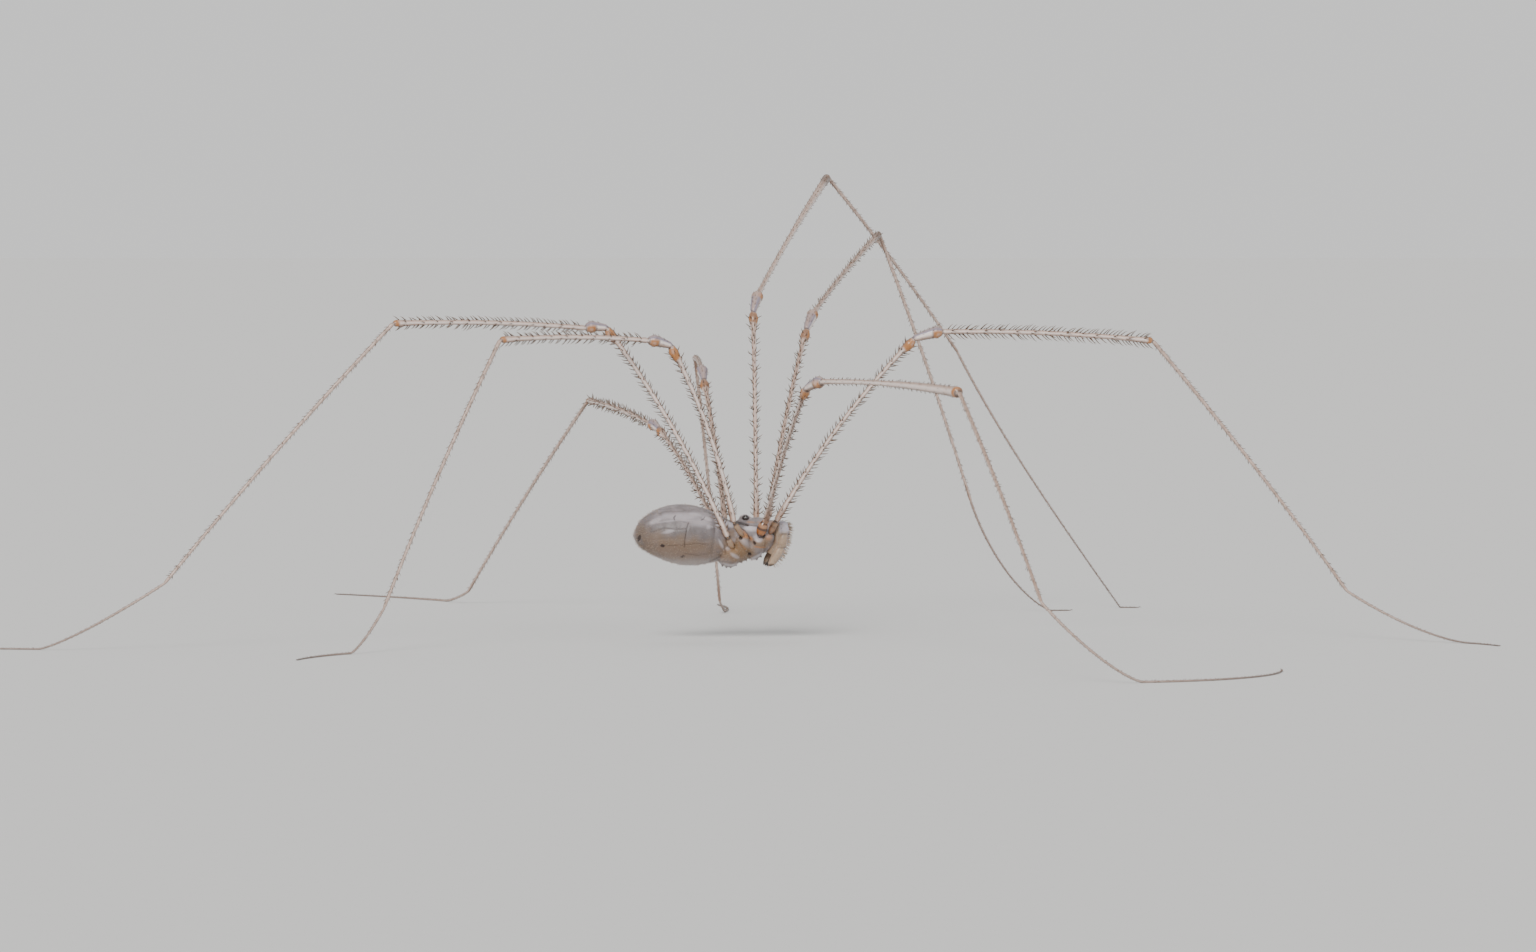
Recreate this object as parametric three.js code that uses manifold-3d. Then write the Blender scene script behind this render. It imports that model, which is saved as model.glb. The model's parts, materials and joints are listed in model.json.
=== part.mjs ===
// A harvestman at life size, standing on its eight long legs.
// Millimetres and degrees. The animal faces +X, its left side is +Y and the floor is z = 0.

import * as THREE from 'three';
import { mergeVertices } from 'three/addons/utils/BufferGeometryUtils.js';
import Module from 'manifold-3d';

// Clear space that neighbouring pieces keep
const GAP = 0.14;
const EYE_GAP = 0.05;

// Trunk, from the rear tip of the abdomen to the front of the carapace.
// Each station gives x, height of the back, height of the belly and half width.
const TRUNK_STATIONS = [
  [-3.75, 4.80, 4.74, 0.04],
  [-3.55, 5.24, 4.36, 0.50],
  [-3.10, 5.71, 4.02, 0.95],
  [-2.50, 6.02, 3.70, 1.26],
  [-1.50, 6.18, 3.42, 1.48],
  [-0.50, 5.99, 3.44, 1.45],
  [0.20, 5.68, 3.60, 1.28],
  [0.95, 5.36, 3.74, 1.12],
  [1.85, 5.56, 3.85, 1.08],
  [2.45, 5.46, 4.20, 0.88],
  [2.78, 5.24, 4.48, 0.56],
  [2.88, 4.96, 4.84, 0.06],
];
const TRUNK_MIDDLE_HEIGHT = 4.78;
const TRUNK_RINGS = 34;
const TRUNK_SIDES = 28;

// Furrows between the rings of the abdomen
const FURROW_SPACING = 0.62;
const FURROW_DEPTH = 0.03;
const FURROW_WIDTH = 0.09;

// The slanted plane where the abdomen meets the prosoma
const WAIST_X = 0.42;
const WAIST_Z = 4.60;
const WAIST_TILT = 28;

// Low eye turret in the middle of the carapace, and the eyes on its two sides
const TURRET_X = 1.37;
const TURRET_BASE_Z = 5.10;
const TURRET_TOP_Z = 5.70;
const TURRET_RADIUS = 0.25;
const EYE_RADIUS = 0.13;
const EYE_Y = 0.19;
const EYE_Z = 5.53;

// Left side of the leg bases, leg by leg from the front: the inner end of the coxa,
// the end of the coxa where the trochanter starts, and the hip where the femur starts
const LEG_BASES = {
  1: { inner: [1.95, 0.22, 4.15], coxaEnd: [2.34, 1.14, 4.84], hip: [2.62, 1.34, 5.45] },
  2: { inner: [1.55, 0.24, 3.86], coxaEnd: [1.90, 1.22, 4.66], hip: [2.10, 1.50, 5.36] },
  3: { inner: [1.05, 0.26, 3.70], coxaEnd: [1.10, 1.27, 4.76], hip: [0.64, 1.50, 5.42] },
  4: { inner: [0.55, 0.28, 3.66], coxaEnd: [0.66, 1.12, 4.22], hip: [0.38, 1.38, 4.74] },
};
const COXA_RADIUS = { 1: 0.32, 2: 0.35, 3: 0.37, 4: 0.42 };
const TROCHANTER_SHAPE = { start: 0.22, middle: 0.27, end: 0.25 };

// Lengths of the leg segments, leg by leg from the front
const LEG_LENGTHS = {
  1: { femur: 10.3, patella: 1.35, tibia: 9.5, metatarsus: 14.4, tarsus: 8.8 },
  2: { femur: 10.4, patella: 1.25, tibia: 10.6, metatarsus: 13.0, tarsus: 16.5 },
  3: { femur: 8.5, patella: 1.15, tibia: 7.0, metatarsus: 13.2, tarsus: 7.8 },
  4: { femur: 10.9, patella: 1.00, tibia: 8.9, metatarsus: 15.4, tarsus: 11.2 },
};

// Radii of the leg segments at their start, middle and end, and how far each bows upwards
const SEGMENT_SHAPES = {
  femur: { start: 0.25, middle: 0.26, end: 0.28, bow: 0.32, rings: 8 },
  patella: { start: 0.27, middle: 0.31, end: 0.28, bow: 0.04, rings: 4 },
  tibia: { start: 0.25, middle: 0.25, end: 0.29, bow: 0.14, rings: 8 },
  metatarsus: { start: 0.22, middle: 0.25, end: 0.25, bow: 0.15, rings: 8 },
};
const LEG_SIDES = 8;
const FRAME_STEPS = 48;
const TARSUS_START_RADIUS = 0.25;
const TARSUS_END_RADIUS = 0.15;
const TARSUS_RINGS = 18;
const TARSUS_FLOOR_SHARE = 0.8;

// Stance: heading in plan from +X and rise from level of the four segments above the foot.
// The tarsus sinks to the floor over its run, more steeply at first where its ease is higher,
// and swings from the first to the second of its headings.
const STANCE = {
  left_1: {
    heading: [64, 61.5, 61, 36], rise: [56, 37.5, 22.5, -64],
    run: 5.0, ease: 1.4, swing: [50, 0],
  },
  right_1: {
    heading: [-8, -8, -6.5, -5], rise: [53, 13.5, -2.5, -52],
    run: 6.0, ease: 1.8, swing: [-8, -76],
  },
  left_2: {
    heading: [84, 65, 61, 41.5], rise: [65.5, 44.5, 31, -40.5],
    run: 9.0, ease: 1, swing: [35, -10],
  },
  right_2: {
    heading: [-85.5, -62, -65.5, -80], rise: [37, 14, -1.5, -40],
    run: 4.2, ease: 1.35, swing: [-34, 82],
  },
  left_3: {
    heading: [92, 89, 85, 70.5], rise: [47, 26.5, 3, -64.5],
    run: 1.6, ease: 1.6, swing: [70, 96],
  },
  right_3: {
    heading: [-167.5, -166, -166.5, -152.5], rise: [69.5, 12, 0.5, -62.5],
    run: 2.0, ease: 1.5, swing: [-152, -110],
  },
  left_4: {
    heading: [99, 107.5, 103, 114], rise: [24.5, 12, 6, -39.5],
    run: 2.2, ease: 1.5, swing: [114, 131],
  },
  right_4: {
    heading: [-181, -178.5, -170, -173], rise: [60, -0.5, 1.5, -48],
    run: 5.6, ease: 1.25, swing: [-185, -205],
  },
};

// Left mouthparts: the centre line of each piece and its radii at start and end
const CHELICERA_BASE = [[2.50, 0.29, 4.92], [2.74, 0.29, 5.14], [2.94, 0.29, 5.16]];
const CHELICERA_BASE_RADII = [0.20, 0.22];
const CHELICERA_HAND = [[2.92, 0.29, 5.16], [3.00, 0.29, 4.70], [2.82, 0.29, 4.10], [2.52, 0.29, 3.72]];
const CHELICERA_HAND_RADII = [0.23, 0.18];
const CHELICERA_FINGERS = [
  [[2.64, 0.29, 3.92], [2.58, 0.29, 3.58], [2.34, 0.29, 3.32]],
  [[2.48, 0.29, 3.92], [2.28, 0.29, 3.66], [2.24, 0.29, 3.36]],
];
const CHELICERA_FINGER_RADII = [0.09, 0.03];
const PALP_UPPER = [[2.52, 0.80, 4.06], [2.76, 0.84, 4.62], [2.90, 0.87, 5.12]];
const PALP_UPPER_RADII = [0.18, 0.20];
const PALP_LOWER = [
  [2.90, 0.87, 5.20], [3.10, 0.87, 5.02], [3.06, 0.86, 4.46], [2.80, 0.84, 3.92], [2.42, 0.80, 3.44],
];
const PALP_LOWER_RADII = [0.22, 0.13];

const MATERIALS = {
  abdomen: { color: 0xb9aeb0, roughness: 0.45, metalness: 0 },
  prosoma: { color: 0xc9b3a4, roughness: 0.5, metalness: 0 },
  eye: { color: 0x0c0908, roughness: 0.12, metalness: 0 },
  mouthpart: { color: 0xd3bba9, roughness: 0.5, metalness: 0 },
  trochanter: { color: 0xc07a3e, roughness: 0.35, metalness: 0 },
  leg: { color: 0xd9c3b4, roughness: 0.55, metalness: 0 },
};

const wasm = await Module();
wasm.setup();
const UP = new THREE.Vector3(0, 0, 1);

function vector(values, side = 1) {
  return new THREE.Vector3(values[0], values[1] * side, values[2]);
}

// One closed surface: shared corners are merged and faces without area dropped
function weld(geometry) {
  geometry.deleteAttribute('normal');
  geometry.deleteAttribute('uv');
  const merged = mergeVertices(geometry, 1e-4);
  const corners = merged.index.array;
  const kept = [];
  for (let i = 0; i < corners.length; i += 3) {
    const [a, b, c] = [corners[i], corners[i + 1], corners[i + 2]];
    if (a !== b && b !== c && c !== a) kept.push(a, b, c);
  }
  merged.setIndex(kept);
  return merged;
}

function toSolid(geometry) {
  const vertProperties = new Float32Array(geometry.attributes.position.array);
  const triVerts = new Uint32Array(geometry.index.array);
  return new wasm.Manifold(new wasm.Mesh({ numProp: 3, vertProperties, triVerts }));
}

function toGeometry(solid) {
  const mesh = solid.getMesh();
  const geometry = new THREE.BufferGeometry();
  geometry.setAttribute('position', new THREE.BufferAttribute(mesh.vertProperties, 3));
  geometry.setIndex(Array.from(mesh.triVerts));
  return geometry;
}

function largestBody(solid) {
  const bodies = solid.decompose();
  return bodies.reduce((best, body) => (body.volume() > best.volume() ? body : best));
}

function union(geometries) {
  return geometries.map(toSolid).reduce((sum, solid) => sum.add(solid));
}

// Smooth value of one column of the trunk's stations at a place along the body
function trunkValue(x, column) {
  const last = TRUNK_STATIONS.length - 1;
  let i = 1;
  while (i < last && TRUNK_STATIONS[i][0] < x) i += 1;
  const row = (k) => TRUNK_STATIONS[THREE.MathUtils.clamp(k, 0, last)];
  const [before, from, to, after] = [row(i - 2), row(i - 1), row(i), row(i + 1)];
  const t = THREE.MathUtils.clamp((x - from[0]) / (to[0] - from[0]), 0, 1);
  const span = to[0] - from[0];
  const slopeFrom = span * (to[column] - before[column]) / (to[0] - before[0]);
  const slopeTo = span * (after[column] - from[column]) / (after[0] - from[0]);
  return from[column] * (2 * t ** 3 - 3 * t ** 2 + 1) + slopeFrom * (t ** 3 - 2 * t ** 2 + t)
    + to[column] * (3 * t ** 2 - 2 * t ** 3) + slopeTo * (t ** 3 - t ** 2);
}

function furrow(x) {
  if (x > WAIST_X - FURROW_SPACING) return 0;
  const away = Math.abs(THREE.MathUtils.euclideanModulo(x + FURROW_SPACING / 2, FURROW_SPACING)
    - FURROW_SPACING / 2);
  return FURROW_DEPTH * Math.max(0, 1 - away / FURROW_WIDTH);
}

// The trunk is a sphere's mesh with its poles at both ends, drawn out to the stations
function makeTrunk() {
  const geometry = new THREE.SphereGeometry(1, TRUNK_SIDES, TRUNK_RINGS);
  const start = TRUNK_STATIONS[0][0];
  const length = TRUNK_STATIONS[TRUNK_STATIONS.length - 1][0] - start;
  const position = geometry.attributes.position;
  const point = new THREE.Vector3();
  for (let i = 0; i < position.count; i += 1) {
    point.fromBufferAttribute(position, i);
    const x = start + length * (1 + point.y) / 2;
    const ring = Math.hypot(point.x, point.z);
    const across = ring > 1e-6 ? point.x / ring : 0;
    const upward = ring > 1e-6 ? point.z / ring : 0;
    const open = ring > 1e-6 ? 1 - furrow(x) : 0;
    const edge = trunkValue(x, upward > 0 ? 1 : 2);
    position.setXYZ(
      i, x, -across * trunkValue(x, 3) * open,
      TRUNK_MIDDLE_HEIGHT + Math.abs(upward) * (edge - TRUNK_MIDDLE_HEIGHT) * open,
    );
  }
  return weld(geometry);
}

function ellipsoid(center, size, columns, rows) {
  const geometry = new THREE.SphereGeometry(1, columns, rows);
  geometry.scale(size[0], size[1], size[2]);
  geometry.translate(center[0], center[1], center[2]);
  return weld(geometry);
}

// A limb is a lathe form with a rounded cap at each end, laid along a curve
function limb(path, radius, rings, sides = LEG_SIDES) {
  const length = path.getLength();
  const capStart = Math.min(radius(0), length / 3);
  const capEnd = Math.min(radius(1), length / 3);
  const profile = [new THREE.Vector2(0, 0)];
  profile.push(new THREE.Vector2(radius(0) * Math.SQRT1_2, capStart * (1 - Math.SQRT1_2)));
  for (let i = 0; i <= rings; i += 1) {
    const along = capStart + (length - capStart - capEnd) * i / rings;
    profile.push(new THREE.Vector2(radius(along / length), along));
  }
  profile.push(new THREE.Vector2(radius(1) * Math.SQRT1_2, length - capEnd * (1 - Math.SQRT1_2)));
  profile.push(new THREE.Vector2(0, length));
  const geometry = new THREE.LatheGeometry(profile, sides, Math.PI / sides);
  const position = geometry.attributes.position;
  const frames = path.computeFrenetFrames(FRAME_STEPS);
  for (let i = 0; i < position.count; i += 1) {
    const t = THREE.MathUtils.clamp(position.getY(i) / length, 0, 1);
    const tangent = path.getTangentAt(t);
    const upward = frames.normals[Math.round(t * FRAME_STEPS)].clone();
    upward.addScaledVector(tangent, -upward.dot(tangent)).normalize();
    const across = new THREE.Vector3().crossVectors(tangent, upward);
    const point = path.getPointAt(t);
    point.addScaledVector(across, position.getX(i)).addScaledVector(upward, position.getZ(i));
    position.setXYZ(i, point.x, point.y, point.z);
  }
  return weld(geometry);
}

function line(points, side = 1) {
  return new THREE.CatmullRomCurve3(points.map((point) => vector(point, side)));
}

// Direction from a heading in plan and a rise from level
function direction(heading, rise) {
  const [h, r] = [THREE.MathUtils.degToRad(heading), THREE.MathUtils.degToRad(rise)];
  return new THREE.Vector3(Math.cos(r) * Math.cos(h), Math.cos(r) * Math.sin(h), Math.sin(r));
}

// The straight stretch between two joints, half a gap short at each, bowed upwards
function bowed(from, to, bow) {
  const along = to.clone().sub(from).normalize();
  const across = new THREE.Vector3().crossVectors(along, UP).normalize();
  const upward = new THREE.Vector3().crossVectors(across, along);
  const start = from.clone().addScaledVector(along, GAP / 2);
  const end = to.clone().addScaledVector(along, -GAP / 2);
  const middle = start.clone().add(end).multiplyScalar(0.5).addScaledVector(upward, 2 * bow);
  return new THREE.QuadraticBezierCurve3(start, middle, end);
}

function swell(shape) {
  return (t) => {
    const middle = THREE.MathUtils.lerp(shape.start, shape.end, t);
    return middle + (shape.middle - (shape.start + shape.end) / 2) * 4 * t * (1 - t);
  };
}

function tarsusRadius(t) {
  return THREE.MathUtils.lerp(TARSUS_START_RADIUS, TARSUS_END_RADIUS, t);
}

// The tarsus sinks from the end of the metatarsus to the floor and lies along it
function tarsusPath(from, stance, length) {
  const step = 0.1;
  const points = [];
  const floorHeight = (t) => TARSUS_FLOOR_SHARE * tarsusRadius(t);
  const drop = from.z - floorHeight(0);
  let point = from.clone();
  let travelled = 0;
  let run = 0;
  while (travelled < length) {
    points.push(point);
    const t = travelled / length;
    const heading = THREE.MathUtils.lerp(stance.swing[0], stance.swing[1], t);
    const next = point.clone().addScaledVector(direction(heading, 0), step);
    run += step;
    next.z = floorHeight(t) + drop * Math.max(0, 1 - run / stance.run) ** stance.ease;
    travelled += next.distanceTo(point);
    point = next;
  }
  const along = points[1].clone().sub(points[0]).normalize();
  points[0].addScaledVector(along, GAP / 2);
  points.splice(1, Math.ceil(GAP / 2 / step));
  return new THREE.CatmullRomCurve3(points);
}

function makeTarsus(from, stance, length) {
  const geometry = limb(tarsusPath(from, stance, length), tarsusRadius, TARSUS_RINGS);
  const position = geometry.attributes.position;
  for (let i = 0; i < position.count; i += 1) {
    position.setZ(i, Math.max(0, position.getZ(i)));
  }
  return geometry;
}

const group = new THREE.Group();

function addMesh(name, geometry, finish) {
  geometry.computeVertexNormals();
  const mesh = new THREE.Mesh(geometry, new THREE.MeshStandardMaterial(MATERIALS[finish]));
  mesh.name = name;
  group.add(mesh);
}

// Legs, each segment starting where the one before it ends
const legRoots = [];
for (const [key, stance] of Object.entries(STANCE)) {
  const [sideName, number] = key.split('_');
  const side = sideName === 'left' ? 1 : -1;
  const base = LEG_BASES[number];
  const lengths = LEG_LENGTHS[number];
  const name = `leg_${sideName}_${number}`;
  const trochanter = bowed(vector(base.coxaEnd, side), vector(base.hip, side), 0);
  addMesh(`${name}_trochanter`, limb(trochanter, swell(TROCHANTER_SHAPE), 4), 'trochanter');
  legRoots.push(limb(trochanter, (t) => swell(TROCHANTER_SHAPE)(t) + GAP, 4));
  let joint = vector(base.hip, side);
  Object.entries(SEGMENT_SHAPES).forEach(([segment, shape], i) => {
    const next = joint.clone().addScaledVector(
      direction(stance.heading[i], stance.rise[i]), lengths[segment]);
    const geometry = limb(bowed(joint, next, shape.bow), swell(shape), shape.rings);
    addMesh(`${name}_${segment}`, geometry, 'leg');
    joint = next;
  });
  addMesh(`${name}_tarsus`, makeTarsus(joint, stance, lengths.tarsus), 'leg');
}

// Mouthparts on both sides, each one piece, with wider forms of their roots for the sockets
const mouthRoots = [];
for (const [sideName, side] of [['left', 1], ['right', -1]]) {
  const piece = (points, radii, extra, rings, sides) => limb(
    line(points, side), (t) => THREE.MathUtils.lerp(radii[0], radii[1], t) + extra, rings, sides);
  const chelicera = [
    piece(CHELICERA_BASE, CHELICERA_BASE_RADII, 0, 4, 10),
    piece(CHELICERA_HAND, CHELICERA_HAND_RADII, 0, 9, 10),
    ...CHELICERA_FINGERS.map((points) => piece(points, CHELICERA_FINGER_RADII, 0, 5, 6)),
  ];
  const palp = [
    piece(PALP_UPPER, PALP_UPPER_RADII, 0, 5, 8),
    piece(PALP_LOWER, PALP_LOWER_RADII, 0, 12, 8),
  ];
  addMesh(`chelicera_${sideName}`, toGeometry(largestBody(union(chelicera))), 'mouthpart');
  addMesh(`palp_${sideName}`, toGeometry(largestBody(union(palp))), 'mouthpart');
  mouthRoots.push(piece(CHELICERA_BASE, CHELICERA_BASE_RADII, GAP, 4, 10));
  mouthRoots.push(piece(CHELICERA_HAND, CHELICERA_HAND_RADII, GAP, 9, 10));
  mouthRoots.push(piece(PALP_UPPER, PALP_UPPER_RADII, GAP, 5, 8));
}

// A block with one face on the waist plane, on the side of the prosoma or of the abdomen
function waistBlock(towards) {
  const size = 12;
  const block = new THREE.BoxGeometry(size, size, size);
  block.translate(towards * (size + GAP) / 2, 0, 0);
  block.rotateY(THREE.MathUtils.degToRad(WAIST_TILT));
  block.translate(WAIST_X, 0, WAIST_Z);
  return toSolid(weld(block));
}

// Prosoma: carapace and coxae in one piece, with a socket for all that it carries
const trunk = toSolid(makeTrunk());
const turretLine = line([[TURRET_X, 0, TURRET_BASE_Z], [TURRET_X, 0, TURRET_TOP_Z]]);
const turretRadius = (t) => TURRET_RADIUS * (1.1 - 0.1 * t);
const turret = limb(turretLine, turretRadius, 5, 12);
const turretSeat = limb(turretLine, (t) => turretRadius(t) + EYE_GAP, 5, 12);
const coxae = [];
for (const side of [1, -1]) {
  for (const [number, base] of Object.entries(LEG_BASES)) {
    const shape = { start: 0.75, middle: 1.1, end: 0.8 };
    const radius = (t) => COXA_RADIUS[number] * swell(shape)(t);
    coxae.push(limb(bowed(vector(base.inner, side), vector(base.coxaEnd, side), -0.12), radius, 6, 10));
  }
}
const eyes = [1, -1].map((side) => [TURRET_X, side * EYE_Y, EYE_Z]);
const sockets = eyes.map((center) => ellipsoid(center, Array(3).fill(EYE_RADIUS + EYE_GAP), 12, 8));
let prosoma = trunk.add(union(coxae)).intersect(waistBlock(1));
prosoma = prosoma.subtract(union([...legRoots, ...mouthRoots, ...sockets, turretSeat]));
addMesh('prosoma', toGeometry(largestBody(prosoma)), 'prosoma');
const eyeTurret = toSolid(turret).subtract(union(sockets));
addMesh('eye_turret', toGeometry(largestBody(eyeTurret)), 'prosoma');
addMesh('abdomen', toGeometry(largestBody(trunk.intersect(waistBlock(-1)))), 'abdomen');
addMesh('eye_left', ellipsoid(eyes[0], Array(3).fill(EYE_RADIUS), 12, 8), 'eye');
addMesh('eye_right', ellipsoid(eyes[1], Array(3).fill(EYE_RADIUS), 12, 8), 'eye');

// The origin is the middle of the ground that the animal covers, on the floor
const box = new THREE.Box3().setFromObject(group);
const middle = box.getCenter(new THREE.Vector3());
group.position.set(-middle.x, -middle.y, 0);

export default group;
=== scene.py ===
# A harvestman at life size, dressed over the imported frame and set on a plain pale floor.
# The animal is laid out in millimetres, facing +X with its left side +Y, and each finished
# piece is then brought to metres in the frame's own place by settle().

import json
import math
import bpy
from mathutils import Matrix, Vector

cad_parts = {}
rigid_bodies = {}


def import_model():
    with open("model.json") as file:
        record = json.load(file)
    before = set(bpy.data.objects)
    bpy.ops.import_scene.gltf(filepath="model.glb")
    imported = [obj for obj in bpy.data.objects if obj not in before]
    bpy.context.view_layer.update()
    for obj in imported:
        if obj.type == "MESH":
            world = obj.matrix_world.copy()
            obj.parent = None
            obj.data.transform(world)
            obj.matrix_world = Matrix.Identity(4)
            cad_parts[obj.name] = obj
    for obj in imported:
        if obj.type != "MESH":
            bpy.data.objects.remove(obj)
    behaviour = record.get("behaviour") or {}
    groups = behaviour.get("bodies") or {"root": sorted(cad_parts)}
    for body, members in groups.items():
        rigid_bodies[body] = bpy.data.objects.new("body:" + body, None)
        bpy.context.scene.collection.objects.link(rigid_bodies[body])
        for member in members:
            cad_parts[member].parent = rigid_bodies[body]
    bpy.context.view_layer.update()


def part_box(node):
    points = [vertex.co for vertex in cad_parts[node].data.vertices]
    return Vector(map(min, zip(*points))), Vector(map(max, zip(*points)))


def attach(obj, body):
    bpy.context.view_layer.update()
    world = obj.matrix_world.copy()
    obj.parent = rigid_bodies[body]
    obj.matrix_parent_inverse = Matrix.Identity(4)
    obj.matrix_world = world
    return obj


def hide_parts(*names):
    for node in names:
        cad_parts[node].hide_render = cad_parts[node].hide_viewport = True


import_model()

from types import SimpleNamespace

import bpy
import numpy as np
from mathutils import Matrix, Vector

bl_info = {
    "name": "Harvestman",
    "version": (1, 0, 0),
    "blender": (4, 5, 0),
    "location": "View3D > Sidebar > Harvestman",
    "description": "Builds a harvestman's skin, eyes, mouthparts, legs and bristles over its frame",
    "category": "Object",
}

MM = 0.001
ROOT_BODY = "root"
SIDES = {"left": 1, "right": -1}

# Eyes and the low turret that carries them
EYE_CENTER = Vector((1.37, 0.19, 5.53))
EYE_RADIUS = 0.13
TURRET_CENTER = (1.38, 0.0, 5.44)
TURRET_SIZE = (0.3, 0.235, 0.24)
TURRET_SKIRT = (1.4, 0.0, 5.26)
TURRET_SKIRT_SIZE = (0.52, 0.46, 0.26)
CREST_SPINES = 6
CREST_SPINE = (0.03, 0.085)
SOCKET_INSET = 0.07
SOCKET_SIZE = (0.17, 0.13, 0.16)

# The frame's eye tells how far its origin is from the middle of the body
EYE_LOW, EYE_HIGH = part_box("eye_left")
FRAME_SHIFT = (EYE_LOW + EYE_HIGH) / 2 / MM - EYE_CENTER

# Trunk from the rear tip to the front: x, height of the back, height of the belly, half width
TRUNK_STATIONS = [
    (-3.75, 4.8, 4.74, 0.04),
    (-3.55, 5.24, 4.36, 0.5),
    (-3.1, 5.71, 4.02, 0.95),
    (-2.5, 6.02, 3.7, 1.26),
    (-1.5, 6.18, 3.42, 1.48),
    (-0.5, 5.99, 3.44, 1.45),
    (0.2, 5.68, 3.6, 1.28),
    (0.95, 5.36, 3.74, 1.12),
    (1.85, 5.56, 3.85, 1.08),
    (2.45, 5.46, 4.2, 0.88),
    (2.78, 5.24, 4.48, 0.56),
    (2.88, 4.96, 4.84, 0.06),
]
TRUNK_MIDDLE_HEIGHT = 4.78
WAIST_X = -0.18
WAIST_LEAN = 0.12
FURROW_SPACING = 0.62
FURROWS = 5

# Segments and rings of the balls, by name
BALL_FACES = {
    "trunk core": (96, 96), "turret": (32, 20), "turret skirt": (32, 20), "eye socket": (24, 16),
    "nub": (12, 8), "eye": (48, 32), "trochanter bead": (28, 24),
}

# Seeded noises: scale and seed
NOISES = {
    "wobble": (14, 3), "gloss": (9, 8), "net": (7, 21), "cells": (11, 27), "fine": (60, 5),
    "pincer": (9, 11), "feeler": (8, 12),
}
FINE_DEPTH = 0.004
SPOT_DEPTH = 0.012

# Small nubs under the coxae on the left side: x, y and size
NUBS = [
    (0.42, 0.66, 0.055), (0.62, 0.72, 0.045), (0.88, 0.76, 0.045), (1.1, 0.7, 0.055),
    (1.34, 0.74, 0.045), (1.58, 0.72, 0.045), (1.82, 0.74, 0.05), (2.02, 0.68, 0.045),
]
NUB_REACH = 0.09

# Left half of the carapace's front hood: points and radii of its line
HOOD = [
    (2.3, 0.62, 5.26, 0.1), (2.62, 0.45, 5.22, 0.12),
    (2.76, 0.16, 5.16, 0.12), (2.78, -0.05, 5.14, 0.11),
]

# Leg bases on the left side: inner end and outer end of the coxa, and the hip
LEG_BASES = {
    1: ((1.95, 0.22, 4.15), (2.34, 1.14, 4.84), (2.62, 1.34, 5.45)),
    2: ((1.55, 0.24, 3.86), (1.9, 1.22, 4.66), (2.1, 1.5, 5.36)),
    3: ((1.05, 0.26, 3.7), (1.1, 1.27, 4.76), (0.64, 1.5, 5.42)),
    4: ((0.55, 0.28, 3.66), (0.66, 1.12, 4.22), (0.38, 1.38, 4.74)),
}
COXA_RADIUS = {1: 0.32, 2: 0.35, 3: 0.37, 4: 0.42}
COXA_SAG = 0.12
COXA_PROFILE = ((0, 0.3, 0.6, 0.86, 0.95, 1), (0.62, 1.04, 1.06, 0.88, 0.78, 0.5))

# Trochanters: radius, share of amber, strength of the dark rings and shift of the left one
TROCHANTERS = {
    1: (0.15, 0.4, 0.4, (0.02, 0, 0.06)),
    2: (0.22, 1, 1, (-0.03, 0, 0.12)),
    3: (0.125, 0.15, 0.15, (0, 0, 0)),
    4: (0.135, 0.1, 0.1, (0, 0, 0)),
}

# Lengths of femur, patella, tibia, metatarsus and tarsus, leg by leg from the front
SEGMENTS = ("femur", "patella", "tibia", "metatarsus", "tarsus")
LEG_LENGTHS = {
    1: (10.3, 1.35, 9.5, 14.4, 8.8),
    2: (10.4, 1.25, 10.6, 13.0, 16.5),
    3: (8.5, 1.15, 7.0, 13.2, 7.8),
    4: (10.9, 1.0, 8.9, 15.4, 11.2),
}
SEGMENT_BOW = {"femur": 0.32, "patella": 0.04, "tibia": 0.14, "metatarsus": 0.15}

# Stance: headings in plan and rises of the four upper segments, then how far the tarsus runs
# before it lies on the floor, how it eases down and how its heading swings
STANCE = {
    "left_1": ((64, 61.5, 61, 36), (56, 37.5, 22.5, -64), 5.0, 1.4, (50, 0)),
    "right_1": ((-8, -8, -6.5, -5), (53, 13.5, -2.5, -52), 6.0, 1.8, (-8, -76)),
    "left_2": ((84, 65, 61, 41.5), (65.5, 44.5, 31, -40.5), 9.0, 1, (35, -10)),
    "right_2": ((-85.5, -62, -65.5, -80), (37, 14, -1.5, -40), 4.2, 1.35, (-34, 82)),
    "left_3": ((92, 89, 85, 70.5), (47, 26.5, 3, -64.5), 1.6, 1.6, (70, 96)),
    "right_3": ((-167.5, -166, -166.5, -152.5), (69.5, 12, 0.5, -62.5), 2.0, 1.5, (-152, -110)),
    "left_4": ((99, 107.5, 103, 114), (24.5, 12, 6, -39.5), 2.2, 1.5, (114, 131)),
    "right_4": ((-181, -178.5, -170, -173), (60, -0.5, 1.5, -48), 5.6, 1.25, (-185, -205)),
}

# Radii of the leg segments: distance from the start and radius, then distance from the end
SEGMENT_RADII = {
    "femur": (
        ((0, 0.1), (0.1, 0.14), (0.35, 0.145), (1.2, 0.115), (3.0, 0.1)),
        ((2.2, 0.1), (0.92, 0.115), (0.62, 0.185), (0.32, 0.225), (0.08, 0.17), (0, 0.11)),
    ),
    "patella": (
        ((0, 0.11), (0.08, 0.16), (0.4, 0.2)),
        ((0.52, 0.24), (0.28, 0.28), (0.08, 0.2), (0, 0.11)),
    ),
    "tibia": (
        ((0, 0.1), (0.1, 0.13), (0.6, 0.11)),
        ((1.6, 0.112), (0.8, 0.125), (0.26, 0.155), (0.08, 0.145), (0, 0.08)),
    ),
    "metatarsus": (
        ((0, 0.07), (0.1, 0.095), (0.6, 0.085)),
        ((1.5, 0.07), (0.12, 0.075), (0.03, 0.065), (0, 0.055)),
    ),
}
TARSUS_RADII = (0.062, 0.028)

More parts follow.
